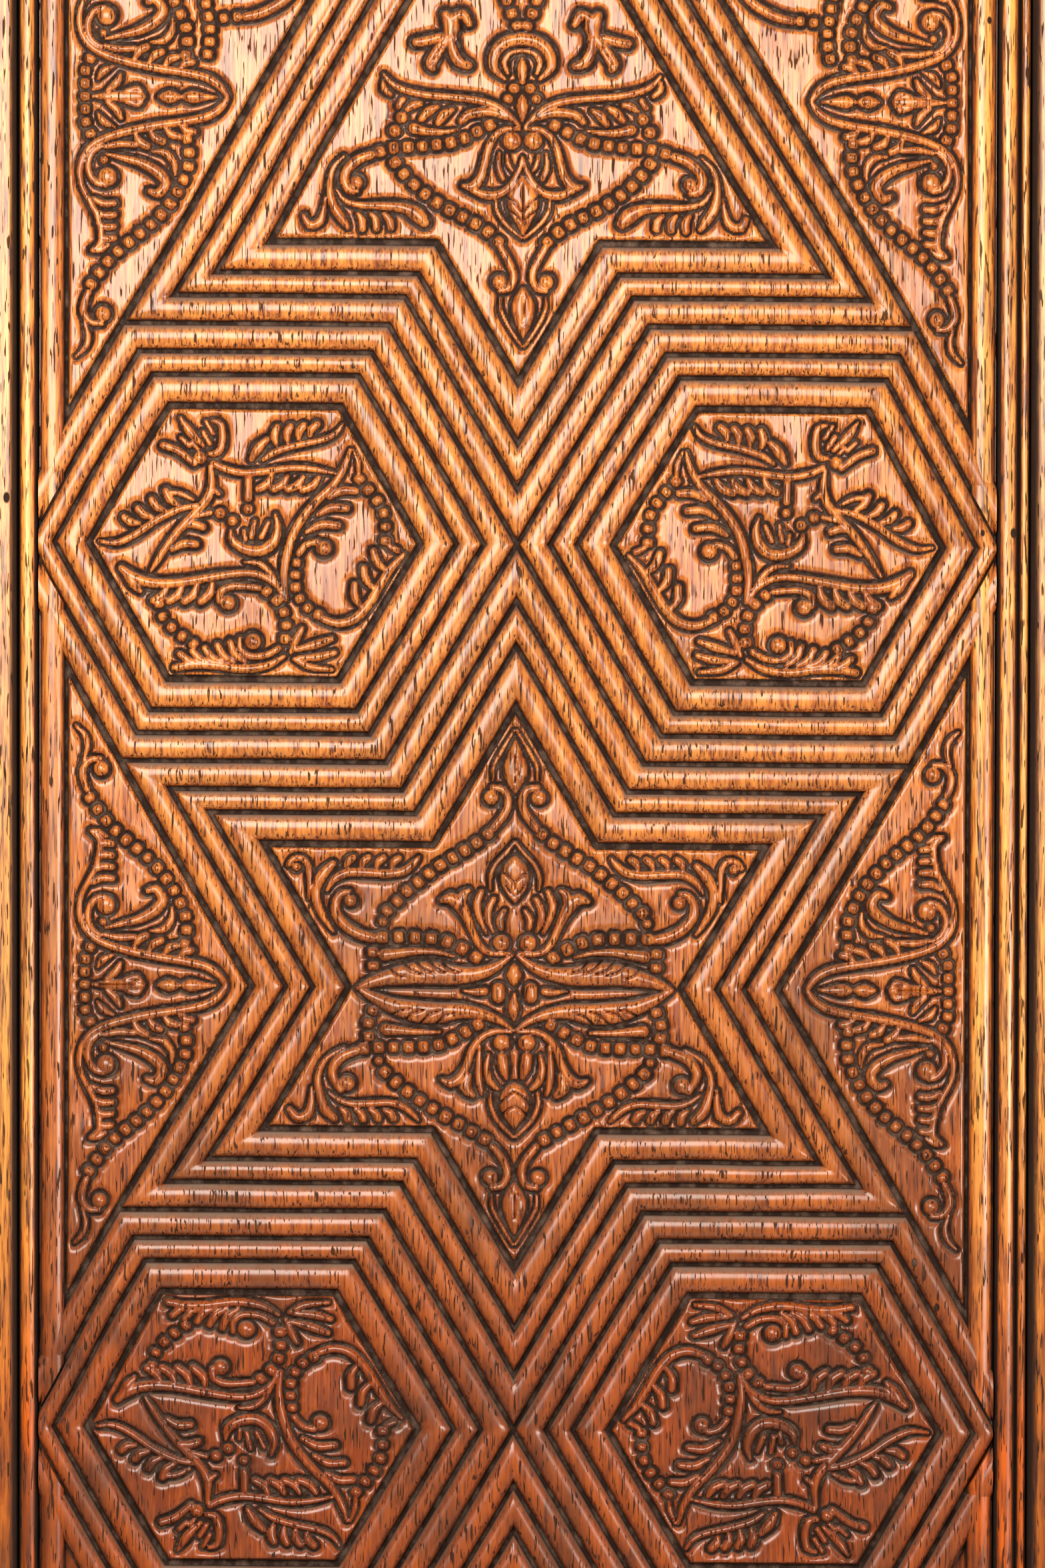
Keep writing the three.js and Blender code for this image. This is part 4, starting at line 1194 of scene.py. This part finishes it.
def strapwork_ring(name, outline, centre, size, seed):
    """Three mitred ribs around an outline, closed at the back."""
    insets, heights = rib_profile(size)
    corners = np.array([offset_outline(outline, inset) for inset in insets])
    edge_lengths = np.linalg.norm(np.roll(outline, -1, axis=0) - outline, axis=1)
    stations = []
    for edge, length in enumerate(edge_lengths):
        count = max(FEWEST_STATIONS, round(length / STATION_STEP))
        stations += [edge + step / count for step in range(count)]
    stations = np.array(stations + [len(outline)])
    piece = start_grid(name, len(insets) - 1, len(stations) - 1)
    shares = grid_shares(piece)
    across = np.rint(shares[:, 0] * (len(insets) - 1)).astype(int)
    along = stations[np.rint(shares[:, 1] * (len(stations) - 1)).astype(int)]
    edge = np.floor(along).astype(int) % len(outline)
    part = (along - np.floor(along))[:, None]
    places = corners[across, edge] * (1 - part) + corners[across, (edge + 1) % len(outline)] * part
    places = laid_out(places + centre)
    rib = np.clip((heights[across] - size.groove_floor) / (size.rib_crest - size.groove_floor), 0, 1)
    wander = [unevenness(places, [wave], [seed + step]) for step, wave in enumerate(RIB_WANDER)]
    wave = rib * unevenness(places, RIB_WAVES, (seed + 2, seed + 3))
    places = places + np.column_stack(wander) * rib[:, None] ** WANDER_FADE
    set_places(piece, places[:, 0], heights[across] + wave, places[:, 1])
    # Painted shade across the ribs, dark in the grooves, and a pale crest, a painted highlight as well as
    # wear
    set_shade_dirt_and_dust(piece, rib_hollow(rib), rib_shade(rib), np.clip((DUST_TOP - rib) / DUST_REACH, 0, 1))
    weld()
    pull_rim_back(piece, size.board_front)
    bpy.ops.mesh.bridge_edge_loops()
    face_outwards()
    trim_to_board(piece)
    return finish_piece(piece, carved_finish())


# Carved fields, in millimetres

FIELD_MARGIN = 1.0
# Reach of the surroundings that a point is compared with, and the depth below them that is fully dark with
# painted shade
CAVITY_REACH = 3.0
CAVITY_DEPTH = 0.5
# Painted shade of level ground, pale crests by their height and at most, a painted highlight as well as wear,
# and dust by the painted shade and at most
GROUND_SHADE = 0.06
CREST_HIGHLIGHT_AND_WEAR = 0.16
MOST_HIGHLIGHT_AND_WEAR = 0.1
DUST_BY_SHADE = 3
MOST_DUST = 0.8
# How far the head spandrel's outline runs past the end of the board, which cuts it off
HEAD_OVERRUN = 12


def carved_field(name, outline, centre, strokes, size, seed):
    """A field of carving over the inside of an outline, closed at the back."""
    edge = laid_out(fine_outline(outline + centre))
    low = np.maximum(edge.min(axis=0) - FIELD_MARGIN, [BOARD_LEFT, BOARD_FOOT])
    high = np.minimum(edge.max(axis=0) + FIELD_MARGIN, [BOARD_RIGHT, BOARD_HEAD])
    columns, rows = (max(2, int(round(span / size.grid_step))) for span in high - low)
    piece = start_grid(name, columns, rows)
    shares = grid_shares(piece)
    places = low + shares * (high - low)
    height = carved_height(true_places(places) - centre, strokes, outline, size, seed)
    set_places(piece, places[:, 0], height, places[:, 1])
    # Painted shade where a point lies below its surroundings, and paler crests, a painted highlight as well
    # as wear
    below = cavity(height, shares, columns, rows, round(CAVITY_REACH / size.grid_step))
    shade = GROUND_SHADE + np.where(below > 0, below / CAVITY_DEPTH, CREST_HIGHLIGHT_AND_WEAR * below)
    shade = np.clip(shade, -MOST_HIGHLIGHT_AND_WEAR, 1)
    set_shade_dirt_and_dust(piece, carved_hollow(height, size), shade, MOST_DUST * np.clip(DUST_BY_SHADE * shade, 0, 1))
    depth = distance_inside(places, edge)
    corner = np.empty(len(piece.data.polygons) * 4, dtype=int)
    piece.data.polygons.foreach_get("vertices", corner)
    delete_cells(piece, np.max(depth[corner].reshape(-1, 4), axis=1) < -FIELD_MARGIN / 2)
    close_back(piece, size.board_front)
    return finish_piece(piece, carved_finish(), FIELD_SMOOTH_ANGLE)


def field_outline(outline, size):
    """The inside edge of the three ribs."""
    return offset_outline(outline, size.outer_rib + size.middle_rib + size.inner_rib)


def spandrel_outlines(size, side):
    """The triangle beside a star, and the larger one beside the head figure, on one side."""
    edge = BOARD_LEFT + size.edge_bead if side < 0 else BOARD_RIGHT - size.edge_bead
    reach = abs(edge)
    slope = size.row_pitch / size.star_notch
    tip = (reach - size.star_notch) * slope
    top = BOARD_HEAD - size.star_row - 2 * size.row_pitch + HEAD_OVERRUN
    triangle = np.array([(-reach, tip), (-reach, -tip), (-size.star_notch, 0)])
    head = np.array([(-reach, top), (-reach, -tip), (top / slope - size.star_notch, top)])
    if side > 0:
        triangle, head = (outline[::-1] * [-1, 1] for outline in (triangle, head))
    return triangle, head, edge


# Operators


class CARVEDPANEL_OT_board(bpy.types.Operator):
    """Make the plain board behind the carving"""

    bl_idname = "carved_panel.board"
    bl_label = "Panel board"

    def execute(self, context):
        size = sizes()
        piece = start_grid("panel_board", 1, 1)
        shares = grid_shares(piece)
        x = np.interp(shares[:, 0], [0, 1], [BOARD_LEFT, BOARD_RIGHT])
        z = np.interp(shares[:, 1], [0, 1], [BOARD_FOOT, BOARD_HEAD])
        set_places(piece, x, np.full(len(x), size.board_front), z)
        set_shade_dirt_and_dust(piece, np.zeros(len(x)), np.zeros(len(x)))
        close_back(piece, 0)
        finish_piece(piece, carved_finish())
        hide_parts("carved_panel")
        return {"FINISHED"}


class CARVEDPANEL_OT_strapwork(bpy.types.Operator):
    """Make the ribs around the hexagons, the star and the head figure"""

    bl_idname = "carved_panel.strapwork"
    bl_label = "Strapwork"

    def execute(self, context):
        size = sizes()
        hexagon, star = hexagon_outline(size), star_outline(size)
        upper, lower = size.star_row + size.row_pitch, size.star_row - size.row_pitch
        for row, row_name in ((upper, "upper"), (lower, "lower")):
            for side, side_name in SIDES:
                centre = np.array([side * size.star_notch, row])
                strapwork_ring(f"strapwork_{row_name}_{side_name}_hexagon", hexagon, centre, size, 11 + side)
        figures = (("star", star, 0, 21), ("head", head_outline(size), 2, 31), ("foot", star, -2, 41))
        for name, outline, rows_up, seed in figures:
            centre = np.array([0, size.star_row + rows_up * size.row_pitch])
            strapwork_ring(f"strapwork_{name}", outline, centre, size, seed)
        return {"FINISHED"}


class CARVEDPANEL_OT_hexagons(bpy.types.Operator):
    """Carve the leaf scrolls inside the hexagons"""

    bl_idname = "carved_panel.hexagons"
    bl_label = "Hexagon carving"

    def execute(self, context):
        size = sizes()
        outline = field_outline(hexagon_outline(size), size)
        for row, row_name in ((1, "upper"), (-1, "lower")):
            for side, side_name in SIDES:
                centre = np.array([side * size.star_notch, size.star_row + row * size.row_pitch])
                strokes = placed(HEXAGON_DESIGN, -side, row)
                name = f"carving_{row_name}_{side_name}_hexagon"
                carved_field(name, outline, centre, strokes, size, 51 + side + row)
        return {"FINISHED"}


class CARVEDPANEL_OT_star(bpy.types.Operator):
    """Carve the palmettes and vines inside the star"""

    bl_idname = "carved_panel.star"
    bl_label = "Star carving"

    def execute(self, context):
        size = sizes()
        upper = both_sides(STAR_UPPER) + STAR_UPPER_AXIS
        strokes = upper + both_sides(STAR_LOWER) + STAR_LOWER_AXIS + STAR_HEART
        outline = field_outline(star_outline(size), size)
        carved_field("carving_star", outline, np.array([0, size.star_row]), strokes, size, 61)
        return {"FINISHED"}


class CARVEDPANEL_OT_head(bpy.types.Operator):
    """Carve the lotus and leaves inside the head figure"""

    bl_idname = "carved_panel.head"
    bl_label = "Head carving"

    def execute(self, context):
        size = sizes()
        strokes = placed(both_sides(HEAD_HALF) + HEAD_AXIS, shift=(HEAD_AXIS_PLACE, 0))
        outline = field_outline(head_outline(size), size)
        centre = np.array([0, size.star_row + 2 * size.row_pitch])
        carved_field("carving_head", outline, centre, strokes, size, 71)
        return {"FINISHED"}


class CARVEDPANEL_OT_spandrels(bpy.types.Operator):
    """Carve the vines in the triangles along the edges"""

    bl_idname = "carved_panel.spandrels"
    bl_label = "Spandrel carving"

    def execute(self, context):
        size = sizes()
        design = SPANDREL_HALF + placed(SPANDREL_HALF, 1, -1) + SPANDREL_AXIS
        for side, side_name in SIDES:
            triangle, head, edge = spandrel_outlines(size, side)
            strokes, extra = (placed(part, -side, 1, (edge, 0)) for part in (design, HEAD_SPANDREL_STEM))
            star_centre = np.array([0, size.star_row])
            head_centre = np.array([0, size.star_row + 2 * size.row_pitch])
            carved_field(f"carving_{side_name}_spandrel", triangle, star_centre, strokes, size, 81 + side)
            name = f"carving_{side_name}_head_spandrel"
            carved_field(name, head, head_centre, strokes + extra, size, 85 + side)
        return {"FINISHED"}


# Beads along the edges and on the strips, in millimetres

BORDER_STEPS = 14
EDGE_BEAD_ROWS = 60
# Share of the groove that an edge bead leaves open on each side
EDGE_GAP = 0.3
EDGE_WAVES = ((0.15, 70), (0.06, 15))
# Where the dirt and painted shade start on an edge bead, and how much of a border bead's painted shade and
# highlight it takes
EDGE_DIRT_AND_SHADE_START = 0.82
EDGE_SHADE = 0.85
STRIP_STEP = 4.0
STRIP_WAVES = ((0.12, 90), (0.05, 17))
# The strips are uneven only at the front: where that starts, and where it is full
FRONT_START = 19
FRONT_SPAN = 3


class CARVEDPANEL_OT_edge_beads(bpy.types.Operator):
    """Make the wide beads along the long edges of the board, mitred into the hexagons"""

    bl_idname = "carved_panel.edge_beads"
    bl_label = "Edge beads"

    def execute(self, context):
        size = sizes()
        slope = size.row_pitch / size.star_notch
        mitre = 2 * size.star_notch - size.outer_rib * math.hypot(1, 1 / slope)
        upper, lower = size.star_row + size.row_pitch, size.star_row - size.row_pitch
        runs = (("head", None, upper), ("middle", upper, lower), ("foot", lower, None))
        for side, side_name in SIDES:
            start = BOARD_LEFT if side < 0 else BOARD_RIGHT - size.edge_bead
            for run_name, above, below in runs:
                name = f"edge_bead_{side_name}_{run_name}"
                self.bead(name, start, side, size, (above, below), (mitre, slope))
        return {"FINISHED"}

    def mitred_end(self, x, row, mitre, slope):
        """How far from a hexagon's row the bead ends at each place across."""
        true = x - stray(np.column_stack((x, np.full(len(x), row))))
        return (mitre - np.abs(true)) * slope

    def bead(self, name, start, side, size, hexagon_rows, cut):
        """One run of bead between the hexagons above and below it, or to the end of the board."""
        above, below = hexagon_rows
        piece = start_grid(name, BORDER_STEPS, EDGE_BEAD_ROWS)
        shares = grid_shares(piece)
        angle = math.pi * shares[:, 0]
        half = size.edge_bead / 2 - size.groove * EDGE_GAP
        x = start + size.edge_bead / 2 - half * np.cos(angle)
        rise = np.sin(angle) ** RIB_ROUNDNESS
        z_top, z_low = np.full(len(x), BOARD_HEAD), np.full(len(x), BOARD_FOOT)
        if above is not None:
            z_top = above - self.mitred_end(x, above, *cut) + LINE_DROOP * x
        if below is not None:
            z_low = below + self.mitred_end(x, below, *cut) + LINE_DROOP * x
        z = z_low + (z_top - z_low) * shares[:, 1]
        places = np.column_stack((x, z))
        height = size.groove_floor + (size.rib_crest - size.groove_floor) * rise
        height += rise * unevenness(places, EDGE_WAVES, (91 + side, 93))
        set_places(piece, x, height, z)
        aside = np.abs(np.cos(angle))
        # Painted shade towards the bead's edges and a painted highlight along its middle, with dirt at the
        # edges
        set_shade_dirt_and_dust(piece, bead_hollow(aside, EDGE_DIRT_AND_SHADE_START), bead_shade(EDGE_SHADE * aside))
        close_back(piece, size.board_front)
        finish_piece(piece, strip_finish() if side > 0 else carved_finish())


def section_strip(name, section, hollow, shade, seed):
    """A strip with a closed section in X and height, run along the length, with slightly uneven faces."""
    rows = round((BOARD_HEAD - BOARD_FOOT) / STRIP_STEP)
    section = np.array(section + section[:1], dtype=float)
    hollow, shade = (np.array(values + values[:1], dtype=float) for values in (hollow, shade))
    piece = start_grid(name, len(section) - 1, rows)
    shares = grid_shares(piece)
    index = np.rint(shares[:, 0] * (len(section) - 1)).astype(int)
    z = BOARD_FOOT + (BOARD_HEAD - BOARD_FOOT) * shares[:, 1]
    places = np.column_stack((section[index, 0], z))
    front = np.clip((section[index, 1] - FRONT_START) / FRONT_SPAN, 0, 1)
    height = section[index, 1] + front * unevenness(places, STRIP_WAVES, (seed, seed + 1))
    set_places(piece, section[index, 0], height, z)
    set_shade_dirt_and_dust(piece, hollow[index], shade[index])
    weld()
    for end in (BOARD_FOOT, BOARD_HEAD):
        at_end = [abs(vertex.co.z - end * MM) < WELD for vertex in piece.data.vertices]
        edges = piece.data.edges
        edit_selected(edges, "EDGE", [all(at_end[v] for v in edge.vertices) for edge in edges])
        bpy.ops.mesh.edge_face_add()
        bpy.ops.object.mode_set(mode="OBJECT")
    bpy.ops.object.mode_set(mode="EDIT")
    face_outwards()
    return piece


# Shares of each strip's width that its beads take: on the right a wide one and a thin one
LEFT_BEADS = (1.0,)
RIGHT_BEADS = (8.2 / 12.4, 4.2 / 12.4)
# A bead under this width lies lower, and a bead leaves a little of its width to the grooves
WIDE_BEAD = 6
THIN_BEAD_DROP = 1.2
BEAD_FILL = 0.94
# Where the dirt and painted shade start across a strip's bead
STRIP_DIRT_AND_SHADE_START = 0.66


class CARVEDPANEL_OT_mouldings(bpy.types.Operator):
    """Make the pinned bead strips between the board and the stiles"""

    bl_idname = "carved_panel.mouldings"
    bl_label = "Mouldings"

    def execute(self, context):
        size = sizes()
        self.strip("left_moulding", LEFT_STRIP_LOW, LEFT_STRIP_HIGH, LEFT_BEADS, size, 101)
        self.strip("right_moulding", RIGHT_STRIP_LOW, RIGHT_STRIP_HIGH, RIGHT_BEADS, size, 103)
        return {"FINISHED"}

    def strip(self, node, low, high, shares, size, seed):
        """One strip, with a bead for each share of its width."""
        left, right = low[0] / MM, high[0] / MM
        foot = -high[1] / MM
        section, aside = [(left, foot)], [1.0]
        start = left
        for share in shares:
            width = share * (right - left)
            crest = size.rib_crest if width > WIDE_BEAD else size.rib_crest - THIN_BEAD_DROP
            for step in range(BORDER_STEPS + 1):
                angle = math.pi * step / BORDER_STEPS
                rise = math.sin(angle) ** RIB_ROUNDNESS
                section.append((start + width / 2 * (1 - BEAD_FILL * math.cos(angle)),
                                size.groove_floor + (crest - size.groove_floor) * rise))
                aside.append(abs(math.cos(angle)))
            start += width
        section.append((right, foot))
        aside.append(1.0)
        # Dirt and painted shade at the beads' edges, and a painted highlight along their middles
        hollow = bead_hollow(np.array(aside), STRIP_DIRT_AND_SHADE_START).tolist()
        shade = bead_shade(aside).tolist()
        piece = section_strip(node + "_strip", section, hollow, shade, seed)
        finish_piece(piece, strip_finish())
        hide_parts(node)


# Gap between a stile and its strip, radius of each stile's inner edge and chamfer of its outer ones
STRIP_GAP = 0.3
LEFT_ROUND = 2.8
RIGHT_ROUND = 3.8
ROUND_STEPS = 6
CHAMFER = 1
# Where further points lie on a stile's face, from the strip
FACE_POINTS = (8, 20)
# Painted shade and dirt of a stile by its hollow, full in the rebate by its strip, and its wear where it is
# clean
STILE_SHADE = 0.9
STILE_WEAR = 0.3


class CARVEDPANEL_OT_stiles(bpy.types.Operator):
    """Make the two stiles with their rebates and rounded inner edges"""

    bl_idname = "carved_panel.stiles"
    bl_label = "Stiles"

    def execute(self, context):
        left_wall = LEFT_STRIP_LOW[0] / MM - STRIP_GAP
        right_wall = RIGHT_STRIP_HIGH[0] / MM + STRIP_GAP
        self.stile("left_stile", LEFT_STILE_LOW, LEFT_STILE_HIGH, left_wall, 1, LEFT_ROUND, 111)
        self.stile("right_stile", RIGHT_STILE_LOW, RIGHT_STILE_HIGH, right_wall, -1, RIGHT_ROUND, 113)
        return {"FINISHED"}

    def stile(self, node, low, high, wall, side, edge_round, seed):
        """One stile; side is the way from it to the panel."""
        inner = (high[0] if side > 0 else low[0]) / MM
        outer = (low[0] if side > 0 else high[0]) / MM
        front = -low[1] / MM
        ledge = -LEFT_STRIP_HIGH[1] / MM - STRIP_GAP
        section = [(inner, 0), (inner, ledge), (wall, ledge), (wall, front - edge_round)]
        # The rebate and the round towards the strip are darkened: glaze and painted shade where the stile
        # meets its strip
        hollow = [1.0] * len(section)
        for step in range(1, ROUND_STEPS + 1):
            angle = math.pi / 2 * step / ROUND_STEPS
            section.append((wall - side * edge_round * (1 - math.cos(angle)),
                            front - edge_round * (1 - math.sin(angle))))
            hollow.append((1 - step / ROUND_STEPS) ** 0.5)
        face = [(wall - side * away, front) for away in FACE_POINTS]
        face += [(outer + side * CHAMFER, front), (outer, front - CHAMFER)]
        face += [(outer, CHAMFER), (outer + side * CHAMFER, 0)]
        section += face
        hollow += [0.0] * len(face)
        shade = [STILE_SHADE * share - STILE_WEAR for share in hollow]
        piece = section_strip(node + "_upright", section, hollow, shade, seed)
        finish_piece(piece, stile_finish())
        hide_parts(node)


# Stage, in metres, with the camera's sensor in millimetres and its roll in radians

FLOOR_SIZE = 6
# A panel set in a door hangs well above the floor
FLOOR_DROP = 0.9
FLOOR_ROUGHNESS = 0.8
CAMERA_DISTANCE = 2.2
CAMERA_RISE = 0.055
CAMERA_ROLL = -0.0019
CAMERA_REACH = 50
VIEW_HEIGHT = 0.5865
VIEW_CENTRE_X = 0.0027
SENSOR_HEIGHT = 36.0
# Each light's name, place, aim, width and height, power in watts, and colour
LIGHTS = (
    ("front_softbox", (-0.24, -1.0, 0.39), (-0.1, 0, 0.08), (0.95, 0.75), 25, (1.0, 0.95, 0.86)),
    ("fill_softbox", (1.207, -1.102, -0.185), (0.057, -0.052, 0.265), (0.8, 0.25), 17.4, (1.0, 0.9, 0.78)),
    ("back_light", (0.5, 1.3, 0.8), (0, 0, 0), (1.5, 1.5), 30, (1.0, 1.0, 1.0)),
)
SKY_COLOUR = (0.9, 0.92, 0.95, 1)
SKY_STRENGTH = 0.04


class CARVEDPANEL_OT_stage(bpy.types.Operator):
    """Add the floor, the lights and the camera"""

    bl_idname = "carved_panel.stage"
    bl_label = "Stage"

    def execute(self, context):
        scene = context.scene
        self.floor(context)
        for settings in LIGHTS:
            self.light(*settings)
        scene.view_settings.view_transform = "Standard"
        world = bpy.data.worlds.new("studio")
        scene.world = world
        world.use_nodes = True
        sky = world.node_tree.nodes["Background"]
        sky.inputs["Color"].default_value = SKY_COLOUR
        sky.inputs["Strength"].default_value = SKY_STRENGTH
        scene.camera = self.camera(scene)
        return {"FINISHED"}

    def floor(self, context):
        """The plain floor below the panel."""
        bpy.ops.object.select_all(action="DESELECT")
        bpy.ops.mesh.primitive_plane_add(size=FLOOR_SIZE, location=(0, 0, PANEL_LOW[2] - FLOOR_DROP))
        floor = context.object
        floor.name = "floor"
        bpy.ops.object.transform_apply(location=True, rotation=False, scale=False)
        material = bpy.data.materials.new("pale_floor")
        material.use_nodes = True
        shader = material.node_tree.nodes["Principled BSDF"]
        shader.inputs["Base Color"].default_value = colour4(context.scene.carved_panel_colours.floor)
        shader.inputs["Roughness"].default_value = FLOOR_ROUGHNESS
        floor.data.materials.append(material)

    def camera(self, scene):
        """The camera straight in front of the panel, a little above its middle."""
        data = bpy.data.cameras.new("camera")
        data.sensor_fit = "VERTICAL"
        data.sensor_height = SENSOR_HEIGHT
        data.lens = SENSOR_HEIGHT * CAMERA_DISTANCE / VIEW_HEIGHT
        data.clip_end = CAMERA_REACH
        camera = bpy.data.objects.new("camera", data)
        scene.collection.objects.link(camera)
        surface = -sizes().ground * MM
        camera.location = (VIEW_CENTRE_X, surface - CAMERA_DISTANCE, CAMERA_RISE)
        camera.rotation_euler = (math.pi / 2 - CAMERA_RISE / CAMERA_DISTANCE, CAMERA_ROLL, 0)
        return camera

    def light(self, name, place, aim, shape, power, colour):
        """One soft rectangular light, turned towards a point."""
        data = bpy.data.lights.new(name, "AREA")
        data.shape = "RECTANGLE"
        data.size, data.size_y = shape
        data.energy = power
        data.color = colour
        light = bpy.data.objects.new(name, data)
        bpy.context.scene.collection.objects.link(light)
        light.location = place
        direction = np.subtract(aim, place)
        flat = math.hypot(direction[0], direction[1])
        light.rotation_euler = (math.atan2(flat, -direction[2]), 0, math.atan2(-direction[0], direction[1]))


class CARVEDPANEL_PT_pieces(bpy.types.Panel):
    """Lists the pieces of the carved panel"""

    bl_idname = "CARVEDPANEL_PT_pieces"
    bl_label = "Carved Panel"
    bl_space_type = "VIEW_3D"
    bl_region_type = "UI"
    bl_category = "Carved Panel"

    def draw(self, context):
        for operator in OPERATORS:
            self.layout.operator(operator.bl_idname)


OPERATORS = (
    CARVEDPANEL_OT_board,
    CARVEDPANEL_OT_strapwork,
    CARVEDPANEL_OT_edge_beads,
    CARVEDPANEL_OT_hexagons,
    CARVEDPANEL_OT_star,
    CARVEDPANEL_OT_head,
    CARVEDPANEL_OT_spandrels,
    CARVEDPANEL_OT_mouldings,
    CARVEDPANEL_OT_stiles,
    CARVEDPANEL_OT_stage,
)
CLASSES = (CarvedPanelSizes, CarvedPanelColours, *OPERATORS, CARVEDPANEL_PT_pieces)


def register():
    """Registers the classes and the settings."""
    for cls in CLASSES:
        bpy.utils.register_class(cls)
    bpy.types.Scene.carved_panel_sizes = bpy.props.PointerProperty(type=CarvedPanelSizes)
    bpy.types.Scene.carved_panel_colours = bpy.props.PointerProperty(type=CarvedPanelColours)


def unregister():
    """Removes the settings and the classes."""
    del bpy.types.Scene.carved_panel_colours
    del bpy.types.Scene.carved_panel_sizes
    for cls in reversed(CLASSES):
        bpy.utils.unregister_class(cls)


def main():
    register()
    for operator in OPERATORS:
        group, name = operator.bl_idname.split(".")
        getattr(getattr(bpy.ops, group), name)()


if __name__ == "__main__":
    main()
